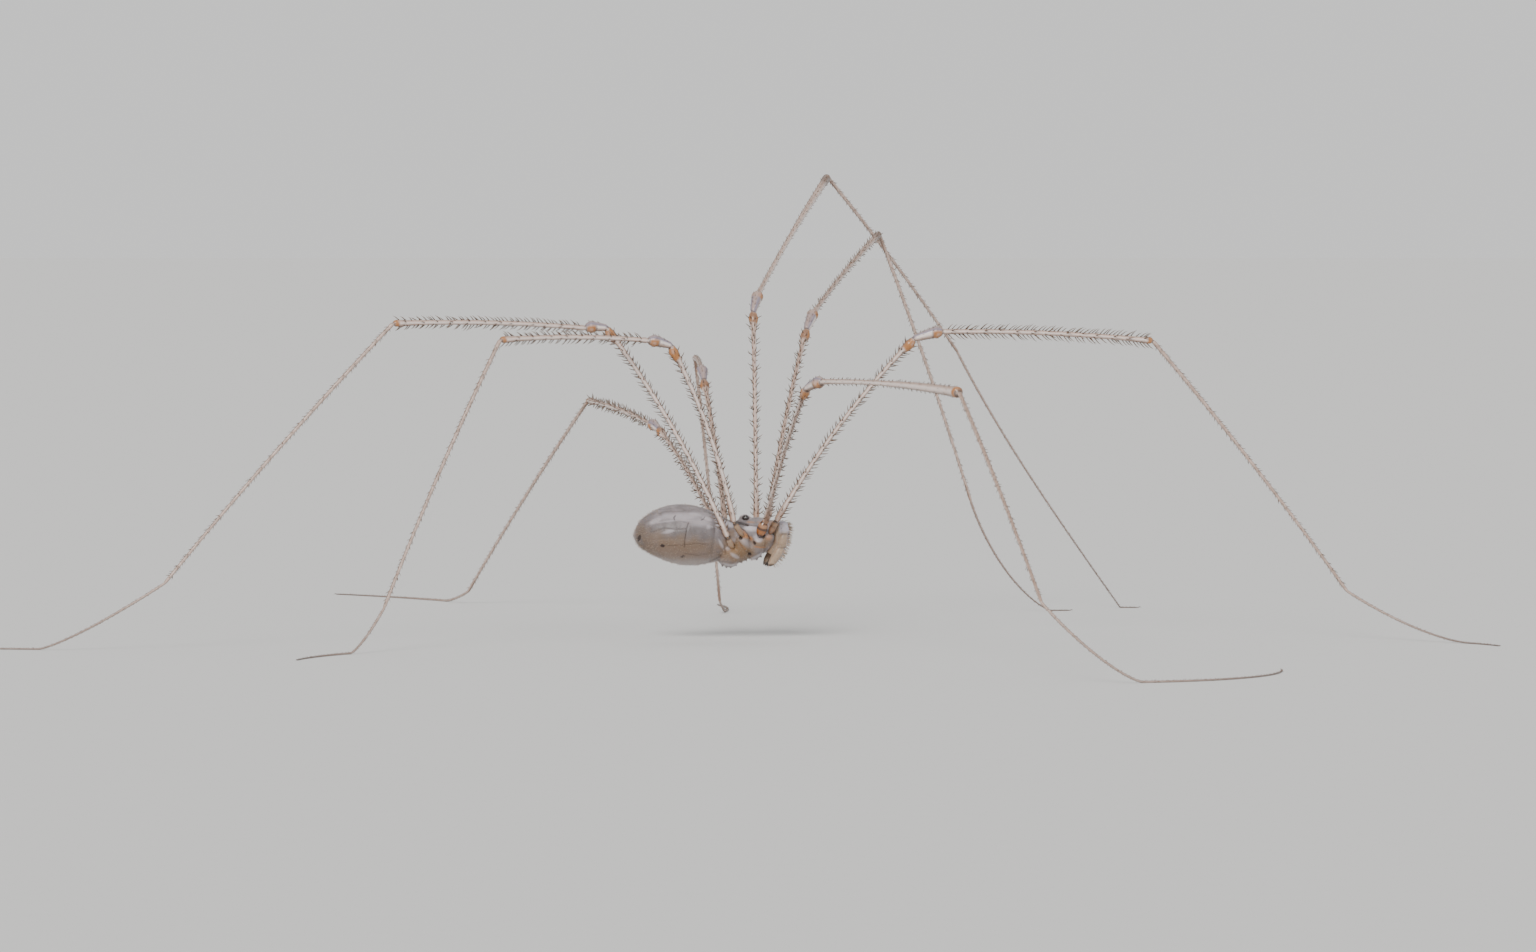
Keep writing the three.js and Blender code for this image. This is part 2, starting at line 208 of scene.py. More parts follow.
# What differs leg by leg: radius added at the tibia's end, its bristles' length as a share,
# and the legs with tawny knees
TIBIA_CLUBS = {"right_2": 0.09, "left_2": 0.05, "left_1": 0.03}
TIBIA_BRISTLES = {"right_1": 1.2, "right_2": 0.45, "left_1": 0.6, "left_2": 0.4, "left_3": 0.35}
TAWNY_KNEES = ("left_1", "left_2")

# Beads of the tarsus, drop of the knees' swellings and rounds that soften the joints
BEAD_LENGTH = 0.26
BEAD_SWELL = 0.13
BEAD_RINGS = 5
FOOT_TAPER = (0.95, 0.8, 0.6, 0.3)
SOFTENINGS = 6
BULB_DROP = 0.035

# Places of the leg markings and of the painted shine on the knees by distance from a segment's end:
# from, to and softness
FEMUR_BULB = (0.06, 0.62, 0.06)
PATELLA_SPOT = (0.03, 0.44, 0.05)
SHINE = (0.12, 0.3, 0.05)
TIBIA_TIP = (0.02, 0.22, 0.05)
ALL_AMBER = 0.95

# Left mouthparts: points of the centre line and the radius at each
CHELICERA_TUBES = [
    [(2.42, 0.29, 4.84, 0.17), (2.56, 0.29, 5.04, 0.2), (2.72, 0.29, 5.15, 0.22),
     (2.88, 0.29, 5.16, 0.2)],
    [(2.84, 0.29, 5.26, 0.12), (2.9, 0.29, 5.12, 0.22), (2.92, 0.29, 4.86, 0.26),
     (2.87, 0.29, 4.52, 0.26), (2.76, 0.29, 4.16, 0.23), (2.62, 0.29, 3.88, 0.18)],
    [(2.66, 0.29, 3.98, 0.12), (2.6, 0.29, 3.76, 0.09), (2.5, 0.28, 3.54, 0.06),
     (2.34, 0.26, 3.36, 0.025), (2.29, 0.26, 3.32, 0.008)],
    [(2.56, 0.29, 3.96, 0.1), (2.42, 0.29, 3.8, 0.08), (2.31, 0.28, 3.6, 0.055),
     (2.26, 0.26, 3.4, 0.022), (2.26, 0.26, 3.35, 0.008)],
]
PALP_TUBES = [
    [(2.4, 0.76, 3.96, 0.14), (2.48, 0.8, 4.12, 0.17), (2.6, 0.83, 4.44, 0.17),
     (2.72, 0.85, 4.8, 0.18), (2.82, 0.87, 5.1, 0.19)],
    [(2.78, 0.87, 5.08, 0.15), (2.88, 0.87, 5.22, 0.22), (2.99, 0.87, 5.18, 0.25),
     (3.04, 0.87, 5.0, 0.24), (3.03, 0.87, 4.84, 0.205), (3.01, 0.87, 4.66, 0.245),
     (2.95, 0.86, 4.4, 0.245), (2.89, 0.86, 4.24, 0.205), (2.83, 0.85, 4.08, 0.225),
     (2.69, 0.84, 3.84, 0.215), (2.53, 0.82, 3.6, 0.18), (2.42, 0.81, 3.46, 0.12),
     (2.36, 0.8, 3.38, 0.05)],
]

# How far a mark moves along x and z for each mm that it lies out from the body's middle plane
SIDE_SLANT = (0.139, -0.035)

# Markings and painted highlights of the trunk seen from the side, by mask: strength, centre x
# and z, half length, half height and tilt in degrees
SPOTS = {
    "dark": (
        (1, -3.45, 4.65, 0.16, 0.075, 75), (1, -2.38, 4.3, 0.11, 0.07, -12),
        (0.7, -1.47, 3.81, 0.1, 0.06, 20), (1, 0.6, 4.6, 0.12, 0.07, 80),
        (1, 1.18, 4.64, 0.09, 0.09, 30), (0.9, 1.81, 4.4, 0.1, 0.06, -60),
        (0.9, 1.59, 3.9, 0.08, 0.07, 0), (0.55, 2.24, 3.98, 0.1, 0.06, 60),
    ),
    # The pale spots are partly lilac-white marks of the shell and partly painted gloss highlights high
    # on the back
    "pale": (
        (0.9, 0.08, 5.48, 0.18, 0.11, -25), (0.8, 0.14, 5.2, 0.15, 0.09, 5),
        (0.8, -0.36, 5.52, 0.24, 0.1, -20), (0.65, -0.9, 5.7, 0.36, 0.08, -6),
        (0.6, -0.28, 5.18, 0.12, 0.13, 0), (0.55, -2.75, 5.42, 0.34, 0.1, 22),
        (0.45, -2.1, 4.95, 0.3, 0.07, 12), (1, 0.62, 5.27, 0.24, 0.13, -22),
        (0.6, 1.03, 4.9, 0.14, 0.18, 0), (0.45, 1.45, 4.4, 0.3, 0.15, -32),
        (0.75, 1.95, 4.63, 0.22, 0.13, -45), (0.6, 2.4, 5, 0.14, 0.28, 0),
        (0.9, 1.42, 5.64, 0.26, 0.07, 0), (0.95, 1.66, 5.06, 0.3, 0.14, -8),
        (0.55, 0.91, 3.83, 0.22, 0.08, -28), (0.6, 0.3, 4.38, 0.26, 0.07, -65),
        (0.4, 0.82, 4.52, 0.13, 0.1, 0), (0.45, 0.6, 4.17, 0.11, 0.1, 0),
        (0.5, -1.5, 5.62, 1.05, 0.16, 0), (0.5, -0.6, 5.36, 0.5, 0.2, -6),
    ),
    "amber": (
        (0.45, 1.64, 5.34, 0.17, 0.05, -4), (0.3, 2.02, 5.34, 0.1, 0.05, 0),
        (0.8, 1.32, 4.81, 0.26, 0.13, -35), (0.85, 1.64, 4.62, 0.1, 0.07, -50),
        (0.55, 2.62, 5.2, 0.22, 0.16, 50), (0.55, 2.46, 4.66, 0.14, 0.12, 20),
    ),
    "tan": (
        (0.35, -3.3, 4.9, 0.35, 0.45, 40), (1, 1.05, 4.1, 0.85, 0.55, 10),
        (0.8, 2.15, 4.4, 0.4, 0.24, 10), (0.62, -1.6, 4.12, 2, 0.55, -2),
        (0.6, 0.8, 4.85, 0.45, 0.22, 10), (0.45, -2.8, 4.6, 0.6, 0.35, 15),
    ),
}

# Fine lines on the trunk, by mask: strength, half width, depth and points in x and z
LINES = {
    "dark": (
        # Painted shade: the first two lines are the dark streak in the groove under the eye turret
        (1, 0.065, 0.02, ((0.5, 5.5), (0.92, 5.34), (1.36, 5.25), (1.5, 5.22))),
        (0.65, 0.032, 0.012, ((1.5, 5.22), (1.96, 5.16))),
        (0.8, 0.03, 0.015, ((0.95, 5.24), (1.15, 5.09), (1.36, 4.97), (1.51, 4.79), (1.6, 4.6))),
        (0.75, 0.024, 0.012, ((-1.2, 5.33), (-1.3, 4.9), (-1.36, 4.58), (-1.39, 4.24))),
        (0.8, 0.026, 0.012, ((-1.8, 5.66), (-1.87, 5.57), (-1.83, 5.48))),
        (0.65, 0.024, 0.01, ((-0.46, 5.6), (-0.52, 5.5), (-0.62, 5.46))),
        (0.34, 0.03, 0.012, ((-2.9, 4.9), (-2.3, 5.1), (-1.8, 5.02), (-1.3, 5.06))),
        (0.3, 0.03, 0.012, ((-2.2, 4.3), (-1.5, 4.32), (-0.8, 4.4), (-0.3, 4.34))),
        (0.28, 0.03, 0.012, ((-1.35, 3.95), (-0.8, 3.86), (-0.35, 3.92))),
        (0.45, 0.03, 0.016, ((0.2, 4.66), (0.42, 4.3), (0.48, 3.96))),
        (0.45, 0.03, 0.02, ((-0.2, 3.6), (0.08, 3.72), (0.3, 3.86))),
        (0.4, 0.03, 0.012, ((1.1, 4.48), (1.3, 4.14), (1.6, 3.92))),
    ),
    "amber": (
        (0.8, 0.028, 0.01, ((1.81, 4.25), (2.05, 4.2), (2.3, 4.21))),
        (0.6, 0.024, 0.01, ((1.1, 4.45), (1.22, 4.3), (1.4, 4.12))),
    ),
    # Pale lines: a painted highlight streak high on the abdomen and a painted glow along the belly's
    # outline
    "pale": (
        (0.4, 0.045, 0, ((-2.6, 5.36), (-1.6, 5.48), (-0.6, 5.4), (-0.1, 5.14))),
        (0.7, 0.06, 0, ((0, 3.52), (0.7, 3.4), (1.3, 3.47), (1.69, 3.68), (2.3, 3.99))),
    ),
}

# Bristles of the leg segments: spacing along a row, length below and above, and lean from
# the leg's line in degrees
BRISTLES = {
    "femur": (0.32, 0.34, 0.28, 48),
    "patella": (0.22, 0.12, 0.16, 45),
    "tibia": (0.33, 0.36, 0.36, 42),
    "metatarsus": (0.32, 0.15, 0.16, 38),
    "tarsus": (0.26, 0.07, 0.08, 40),
}
BRISTLE_ROWS = 8
FLANK_ROWS = (1, 2, 5, 6)
FLANK_PACE = 2.2
BRISTLE_FLOOR_GAP = 0.004
SEED_OF_BRISTLES = 20
SEED_OF_FUZZ = 41
SEED_OF_FRINGES = 50

# Half the size of a hair's patch on the map, and the part of the map that is used
PATCH = 0.0015
MAP_ALONG = (0.02, 0.96)
MAP_ROUND = (0.03, 0.94)

# Fine hairs of a skin: count, lean, length and thickness in mm
FUZZ = (2600, (-0.7, 0, -0.2), 0.085, 0.014)
FRINGES = {"feeler": (170, (0.5, 0, -0.55), 0.23, 0.036), "pincer": (90, (0.5, 0, -0.55), 0.16, 0.036)}
CLAW_LENGTH = 0.16
CLAW_RADII = (0.022, 0.002)
CLAW_HOOK = (0.03, 0.9)

# Lights: name, where each comes from, its spread in degrees, its share of the key and its colour
LIGHTS = [
    ("key light", (-0.35, -0.75, 0.62), 26, 1, (1, 0.98, 0.95)),
    ("fill light", (0.7, -0.6, 0.4), 60, 0.2, (0.92, 0.96, 1)),
    ("rim light", (0.1, 0.55, 0.8), 40, 0.1, (1, 0.98, 0.96)),
]
BACKGROUND = (0.81, 0.81, 0.805, 1)
FLOOR_SPECKS = (0.58, 0.58, 0.58)
FLOOR_SPECK_SCALE = 900.0
SENSOR_WIDTH = 36
CAMERA_CLIP = (0.005, 20)

# Colours of the finishes, each with what it is for
PALETTE = {
    "shell": ("Thin pale shell of the trunk", (0.255, 0.222, 0.232)),
    "shade": ("Darker blotches of the shell", (0.145, 0.125, 0.125)),
    "deep": ("Darker middle of the abdomen's sides", (0.125, 0.108, 0.106)),
    "tan": ("Ochre parts low on the trunk and on the coxae", (0.225, 0.138, 0.074)),
    # The cream here is painted light: a glow along the outline of back and belly
    "rim": ("Cream along the back and the belly", (0.55, 0.48, 0.46)),
    # Gloss colours the pale marks of the shell and the painted gloss highlights
    "gloss": ("Lilac white patches", (0.52, 0.475, 0.505)),
    "amber": ("Amber at the joints", (0.4, 0.165, 0.05)),
    "amber_deep": ("Deeper amber of the trochanters", (0.25, 0.07, 0.016)),
    "ochre": ("Trochanters that aren't amber", (0.31275, 0.21315, 0.13745)),
    "dark": ("Dark brown marks and joint rings", (0.03, 0.016, 0.012)),
    # Cream and edge are painted shading of the legs: a light flank, with darker brown top and underside
    "cream": ("Light flank of the legs", (0.6, 0.46, 0.4)),
    "edge": ("Brown upper and lower edge of the legs", (0.27, 0.165, 0.12)),
    "dusk": ("Speckles of the legs", (0.24, 0.15, 0.11)),
    "lilac": ("Grey lilac on the knees", (0.22, 0.195, 0.26)),
    # White is a painted highlight: the light line along the flank of the legs and on the knees
    "white": ("Light centre line of the legs", (0.86, 0.79, 0.76)),
    "palp": ("Pale mouthparts", (0.42, 0.305, 0.215)),
    "palp_shade": ("Darker blotches of the mouthparts", (0.27, 0.19, 0.135)),
    "palp_white": ("Lilac white on the palps' knees", (0.52, 0.49, 0.55)),
    "palp_brown": ("Brown hollows of the mouthparts", (0.14, 0.07, 0.03)),
    "eye": ("Nearly black eye", (0.01, 0.008, 0.008)),
    "eye_glow": ("Brown depth of the eye", (0.035, 0.018, 0.01)),
    "eye_rim": ("Skin ring round the eye", (0.3, 0.2, 0.13)),
    "bristle": ("Bristles of the legs", (0.29, 0.21, 0.16)),
    "bristle_root": ("Roots of the bristles", (0.13, 0.088, 0.064)),
    "down": ("Fine hairs of trunk and mouthparts", (0.54, 0.44, 0.36)),
    "down_root": ("Roots of the fine hairs", (0.44, 0.34, 0.27)),
}

# Finishes: scales of blotches and grain, first colour, colours over it each with the terms
# of its share (see share_of), source and range of the roughness, depth of the bump in metres,
# and constants for the first of SHADER_INPUTS
SHADER_INPUTS = (
    "IOR", "Coat Weight", "Coat Roughness", "Subsurface Weight", "Subsurface Scale",
    "Subsurface Radius", "Sheen Weight", "Sheen Roughness", "Sheen Tint")
FINISHES = {
    # Trunk shell: the cream is a painted glow along the outline, the lilac white partly painted gloss
    "translucent trunk shell": (
        (1500, 14000), "shell",
        (("shade", (0, 0.75)), ("deep", "deep"), ("tan", "tan"), ("rim", "rim"), ("gloss", "pale"),
         ("amber", "amber"), ("dark", "dark")),
        ("Blotch", 0.4, 0.58), 1e-5,
        (1.4, 0.12, 0.25, 0.3, 1e-4, (1, 0.7, 0.55), 0.15, 0.25, (1, 0.93, 0.9))),
    # Leg cuticle: cream over brown is painted shading by how far round the leg faces, white a painted
    # highlight
    "leg cuticle": (
        (5200, 26000), "edge",
        (("cream", "stripe"), ("dusk", "blotch", "speckle"), ("lilac", "lilac"), ("white", "white"),
         ("amber", "amber"), ("dark", "dark")),
        ("Blotch", 0.3, 0.5), 6e-6,
        (1.5, 0.3, 0.25, 0.2, 3e-5, (1, 0.6, 0.45))),
    # Trochanters: the pale golden band is a painted highlight of the glossy bead
    "amber trochanter": (
        (4000, 20000), "amber",
        (("amber_deep", (0.25, 1)), ("palp", "gold", 0.35), ("ochre", "-amber"),
         ("dark", "bands", "ringed"), ("dark", "collar")),
        ("Blotch", 0.16, 0.3), 6e-6,
        (1.5, 0.6, 0.1, 0.2, 4e-5, (1, 0.4, 0.15))),
    "mouthpart cuticle": (
        (3500, 18000), "palp",
        (("palp_shade", (0, 0.6)), ("palp_white", "white"), ("palp_brown", "brown"), ("dark", "dark")),
        ("Blotch", 0.28, 0.46), 8e-6,
        (1.5, 0.3, 0.2, 0.25, 6e-5, (1, 0.6, 0.45))),
    "glossy eye": (
        (6000, 30000), "eye", (("eye_glow", (0, 0.5)), ("eye_rim", "rim")),
        ("Grain", 0.03, 0.08), 5e-7, (1.55, 1, 0.03)),
    "dark claw": (
        (9000, 40000), "dark", (("palp_brown", "blotch"),), ("Blotch", 0.22, 0.36), 3e-6, (1.5,)),
    "tan bristles": (
        (3000, 20000), "bristle_root", (("bristle", "tip"), ("bristle_root", (0, 0.35))),
        ("Grain", 0.3, 0.5), 1e-6, (1.5, 0, 0.03, 0.1, 5e-5)),
    "pale down": (
        (3000, 20000), "down_root", (("down", "tip"), ("down_root", (0, 0.35))),
        ("Grain", 0.3, 0.5), 1e-6, (1.5, 0, 0.03, 0.1, 5e-5)),
}


# Small helpers for objects


def pick(piece):
    """Selects one object alone and makes it the active one."""
    bpy.ops.object.select_all(action="DESELECT")
    piece.select_set(True)
    bpy.context.view_layer.objects.active = piece


def named(piece, name):
    """Gives an object and its mesh one name."""
    piece.name = name
    piece.data.name = name
    return piece


def added(work, **settings):
    """The object that one add operator makes, alone in the selection."""
    bpy.ops.object.select_all(action="DESELECT")
    work(**settings)
    return bpy.context.object


def edit_mesh(work, **settings):
    """Runs one edit mode tool on all of the active mesh."""
    bpy.ops.object.mode_set(mode="EDIT")
    bpy.ops.mesh.select_all(action="SELECT")
    work(**settings)
    bpy.ops.object.mode_set(mode="OBJECT")


def join(pieces, name):
    """Joins several mesh objects into one."""
    pick(pieces[0])
    for piece in pieces:
        piece.select_set(True)
    bpy.ops.object.join()
    return named(bpy.context.object, name)


def finish_with(piece, kind, **settings):
    """Adds one modifier to a piece and applies it."""
    pick(piece)
    modifier = piece.modifiers.new(kind.title(), kind)
    for key, value in settings.items():
        setattr(modifier, key, value)
    bpy.ops.object.modifier_apply(modifier=modifier.name)


def oriented(piece, name, matrix):
    """A copy of a modelled piece with its own mesh, turned and moved to its place."""
    copy = piece.copy()
    copy.data = piece.data.copy()
    bpy.context.collection.objects.link(copy)
    copy.data.transform(matrix)
    return named(copy, name)


def vectors(collection, key):
    values = np.empty(len(collection) * 3)
    collection.foreach_get(key, values)
    return values.reshape(-1, 3)


def coordinates(piece):
    return vectors(piece.data.vertices, "co")


def vertex_normals(piece):
    return vectors(piece.data.vertex_normals, "vector")


def set_coordinates(piece, points):
    piece.data.vertices.foreach_set("co", np.ascontiguousarray(points, dtype=float).ravel())
    piece.data.update()


def set_mask(piece, name, values):
    """Stores one value a vertex, which the material reads by its name."""
    layer = piece.data.attributes.new(name, "FLOAT", "POINT")
    layer.data.foreach_set("value", np.clip(values, 0, 1).astype(np.float32))


def settle(piece, material, slot, *nodes):
    """Brings a finished piece to metres in the frame, gives it its material, hides the frame's parts
    that it stands for and hangs it on the root body.
    """
    piece.data.transform(Matrix.Scale(MM, 4) @ Matrix.Translation(FRAME_SHIFT))
    piece.data.materials.clear()
    piece.data.materials.append(material)
    pick(piece)
    bpy.ops.object.shade_smooth()
    if nodes:
        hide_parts(*nodes)
    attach(piece, ROOT_BODY)


# Small helpers for numbers


def unit(vectors):
    return vectors / np.maximum(np.linalg.norm(vectors, axis=-1, keepdims=True), 1e-9)


def step(low, high, values):
    """Smooth step from 0 at low to 1 at high."""
    t = np.clip((values - low) / (high - low), 0, 1)
    return t * t * (3 - 2 * t)


def window(low, high, soft, values):
    """1 between low and high, falling smoothly to 0 outside."""
    return step(low - soft, low + soft, values) * (1 - step(high - soft, high + soft, values))


def bell(values, width):
    """1 at zero, falling off on both sides within about the width."""
    return np.exp(-((values / width) ** 2))


def run_of(points):
    """How far along a line each of its points lies."""
    return np.concatenate(([0], np.cumsum(np.linalg.norm(np.diff(points, axis=0), axis=1))))


def eased(values, places, heights):
    """Interpolation through the given heights with level tangents at each place."""
    index = np.clip(np.searchsorted(places, values) - 1, 0, len(places) - 2)
    t = step(places[index], places[index + 1], values)
    return heights[index] * (1 - t) + heights[index + 1] * t


def catmull(values, places, heights):
    """Smooth curve through the given heights."""
    slopes = np.gradient(heights, places)
    index = np.clip(np.searchsorted(places, values) - 1, 0, len(places) - 2)
    span = places[index + 1] - places[index]
    t = np.clip((values - places[index]) / span, 0, 1)
    return (
        heights[index] * (2 * t**3 - 3 * t**2 + 1) + span * slopes[index] * (t**3 - 2 * t**2 + t)
        + heights[index + 1] * (3 * t**2 - 2 * t**3) + span * slopes[index + 1] * (t**3 - t**2)
    )


def direction(heading, rise):
    h, r = math.radians(heading), math.radians(rise)
    return np.array((math.cos(r) * math.cos(h), math.cos(r) * math.sin(h), math.sin(r)))


def line_frames(points):
    """Tangents of a line and the directions square to them that point most upwards."""
    tangents = unit(np.gradient(points, axis=0))
    return tangents, unit(np.array((0.0, 0.0, 1.0)) - tangents * tangents[:, 2:3])


# Shapes that several pieces share


def tube(name, points, radii, sides):
    """A closed tube round a line, its rings in order along it."""
    piece = added(bpy.ops.curve.primitive_nurbs_path_add, location=(0, 0, 0))
    curve = piece.data
    curve.splines.clear()
    spline = curve.splines.new("POLY")
    spline.points.add(len(points) - 1)
    for knot, point, radius in zip(spline.points, points, radii):
        knot.co = (*point, 1)
        knot.radius = radius
    curve.bevel_depth = 1
    curve.bevel_resolution = (sides - 4) // 2
    curve.use_fill_caps = True
    curve.twist_mode = "MINIMUM"
    pick(piece)
    bpy.ops.object.convert(target="MESH")
    edit_mesh(bpy.ops.mesh.remove_doubles, threshold=1e-5)
    return named(bpy.context.object, name)


def smooth_tube(name, stations, side, sides, count):
    """A tube whose line and radii run smoothly through a few given stations."""
    stations = np.array(stations, dtype=float)
    stations[:, 1] *= side
    places = run_of(stations[:, :3])
    values = np.linspace(0, places[-1], count)
    columns = [catmull(values, places, stations[:, k]) for k in range(4)]
    return tube(name, np.stack(columns[:3], axis=1), np.maximum(columns[3], 0.005), sides)


def ball(name, center, size):
    """A sphere stretched to an egg-like bead."""
    segments, rings = BALL_FACES[name]
    piece = added(
        bpy.ops.mesh.primitive_uv_sphere_add, segments=segments, ring_count=rings, radius=1,
        location=center, scale=size)
    bpy.ops.object.transform_apply(location=True, rotation=True, scale=True)
    return named(piece, name)


def hairs(name, roots, tips, outward, radii, places):
    """Thin bent cones from roots to tips, each a small patch of the OFBake map at its root's place."""
    count = len(roots)
    axis = unit(tips - roots)
    across = unit(np.cross(axis, outward))
    upward = np.cross(across, axis)
    lengths = np.linalg.norm(tips - roots, axis=1, keepdims=True)
    middle = roots * 0.45 + tips * 0.55 + unit(outward) * lengths * 0.07
    corners = [(math.cos(k * 2 * math.pi / 3), math.sin(k * 2 * math.pi / 3)) for k in range(3)]
    rings = [
        center + (across * c + upward * s) * radii[:, None] * share
        for center, share in ((roots, 1.0), (middle, 0.75)) for c, s in corners]
    vertices = np.stack(rings + [tips], axis=1).reshape(-1, 3)
    pattern = [(2, 1, 0)]
    for k in range(3):
        following = (k + 1) % 3
        pattern += [(k, following, following + 3), (k, following + 3, k + 3), (k + 3, following + 3, 6)]
    faces = (np.array(pattern)[None] + 7 * np.arange(count)[:, None, None]).reshape(-1, 3)
    mesh = bpy.data.meshes.new(name)
    mesh.from_pydata(vertices.tolist(), [], faces.tolist())
    spread = np.zeros((7, 2))
    spread[:3] = PATCH * np.array(corners)
    spread[3:6] = spread[:3] * 0.5
    flat = (places[:, None, :] + spread[None]).reshape(-1, 2)
    layer = mesh.uv_layers.new(name="OFBake")
    layer.data.foreach_set("uv", flat[faces.ravel()].astype(np.float32).ravel())
    piece = bpy.data.objects.new(name, mesh)
    bpy.context.collection.objects.link(piece)
    set_mask(piece, "tip", np.tile([0, 0, 0, 0.55, 0.55, 0.55, 1], count))
    return piece


def map_places(span, along, around):
    """Places on the map from two shares, the first brought to a span of it."""
    return np.stack((span[0] + span[1] * along, MAP_ROUND[0] + MAP_ROUND[1] * around), axis=1)


# Node helpers and the effects that several finishes share


def feed(tree, socket, value):
    """Links an output to a socket, or sets the socket to a constant."""
    if isinstance(value, bpy.types.NodeSocket):
        tree.links.new(value, socket)
    else:
        socket.default_value = (*value[:3], 1) if socket.type == "RGBA" else value


def add_node(tree, kind, settings=None, **inputs):
    """Adds a node, sets its properties, and feeds its inputs by name or by number."""
    made = tree.nodes.new(kind)
    for key, value in (settings or {}).items():
        setattr(made, key, value)
    for key, value in inputs.items():
        feed(tree, made.inputs[int(key[1:]) if key[0] == "_" else key.replace("_", " ")], value)
    return made


def mixed(tree, factor, first, second):
    """Colour between two others by a factor, each a socket or a colour."""
    node = add_node(tree, "ShaderNodeMix", {"data_type": "RGBA"}, _0=factor, _6=first, _7=second)
    return node.outputs[2]


def math_node(tree, operation, first, second):
    return add_node(tree, "ShaderNodeMath", {"operation": operation}, _0=first, _1=second).outputs[0]


def spread_of(tree, value, low, high, start=0.0, end=1.0):
    """A value between start and end brought to the span from low to high."""
    node = add_node(tree, "ShaderNodeMapRange", Value=value, _1=start, _2=end, _3=low, _4=high)
    return node.outputs[0]


def share_of(tree, blotch, terms):
    """A product of terms: a span of the blotches, the blotches, a number, a mask or 1 less a mask."""
    product = None
    for term in terms:
        if isinstance(term, tuple):
            term = spread_of(tree, blotch, *term)
        elif term == "blotch":
            term = blotch
        elif isinstance(term, str):
            mask = add_node(tree, "ShaderNodeAttribute", {"attribute_name": term.lstrip("-")})
            share = mask.outputs["Fac"]
            term = math_node(tree, "SUBTRACT", 1.0, share) if term[0] == "-" else share
        product = term if product is None else math_node(tree, "MULTIPLY", product, term)
    return product


def cuticle_grain():
    """Soft blotches and fine pebbling of the thin shell, as a mask and a height."""
    group = bpy.data.node_groups.get("cuticle grain")
    if group:
        return group
    group = bpy.data.node_groups.new("cuticle grain", "ShaderNodeTree")
    for name in ("Blotch Scale", "Grain Scale"):
        group.interface.new_socket(name, in_out="INPUT", socket_type="NodeSocketFloat")
    for name in ("Blotch", "Grain", "Height"):
        group.interface.new_socket(name, in_out="OUTPUT", socket_type="NodeSocketFloat")
    coarse, fine = group.nodes.new("NodeGroupInput").outputs[:2]
    result = group.nodes.new("NodeGroupOutput")
    place = add_node(group, "ShaderNodeTexCoord").outputs["Object"]
    blotch = add_node(
        group, "ShaderNodeTexNoise", Vector=place, Scale=coarse, Detail=4.0, Roughness=0.6,
        Distortion=0.4).outputs[0]
    grain = add_node(
        group, "ShaderNodeTexNoise", Vector=place, Scale=fine, Detail=3.0, Roughness=0.7).outputs[0]
    pebbles = add_node(
        group, "ShaderNodeTexVoronoi", {"feature": "SMOOTH_F1"}, Vector=place, Scale=fine)
    group.links.new(spread_of(group, blotch, 0.0, 1.0, 0.35, 0.65), result.inputs["Blotch"])
    group.links.new(grain, result.inputs["Grain"])
    height = math_node(group, "SUBTRACT", grain, pebbles.outputs["Distance"])
    group.links.new(height, result.inputs["Height"])
    return group


def finish(name, build, constants=()):
    """A material with a Principled shader, whose colour, roughness and bump build() lays."""
    material = bpy.data.materials.new(name)
    material.use_nodes = True
    tree = material.node_tree
    shader = tree.nodes["Principled BSDF"]
    color, roughness, height, depth = build(tree)
    bump = add_node(tree, "ShaderNodeBump", Strength=0.6, Distance=depth, Height=height)
    laid = (("Base Color", color), ("Roughness", roughness), ("Normal", bump.outputs[0]))
    for key, value in (*zip(SHADER_INPUTS, constants), *laid):
        feed(tree, shader.inputs[key], value)
    return material


def finish_of(name):
    """One of the FINISHES in the colours of the scene."""
    scales, under, layers, (source, low, high), depth, constants = FINISHES[name]
    colors = bpy.context.scene.harvestman_colors

    def build(tree):
        grain = add_node(
            tree, "ShaderNodeGroup", {"node_tree": cuticle_grain()},
            Blotch_Scale=scales[0], Grain_Scale=scales[1])
        color = getattr(colors, under)
        for over, *terms in layers:
            share = share_of(tree, grain.outputs["Blotch"], terms)
            color = mixed(tree, share, color, getattr(colors, over))
        roughness = spread_of(tree, grain.outputs[source], low, high)
        return color, roughness, grain.outputs["Height"], depth
    return bpy.data.materials.get(name) or finish(name, build, constants)


# Lines and skins of the legs


def side_of(key):
    name, number = key.split("_")
    return (1 if name == "left" else -1), int(number)


def leg_base(key):
    """Inner end of the coxa, its outer end and the hip of one leg."""
    side, number = side_of(key)
    return [np.array((x, y * side, z)) for x, y, z in LEG_BASES[number]]


def segment_places(length, fine=0.045, coarse=0.15, end=0.9):
    """Places of the rings along a segment, closer together near its two ends."""
    end = min(end, length * 0.48)
    near = np.arange(0, end, fine)
    middle = np.linspace(end, length - end, max(2, round((length - 2 * end) / coarse)))
    return np.concatenate((near, middle, length - near[::-1]))[:-1]


def segment_line(joint, following, bow, places, length):
    """Points along a segment that is bowed upwards."""
    along = unit(following - joint)
    across = unit(np.cross(along, (0, 0, 1)))
    control = (joint + following) / 2 + np.cross(across, along) * 2 * bow
    t = (places / length)[:, None]
    return joint * (1 - t) ** 2 + control * 2 * t * (1 - t) + following * t**2


def segment_radius(segment, places, length):
    near, far = SEGMENT_RADII[segment]
    stations = [(place, radius) for place, radius in near if place < length / 2]
    stations += [(length - place, radius) for place, radius in far if place < length / 2]
    columns = np.array(stations)
    return eased(places, columns[:, 0], columns[:, 1])


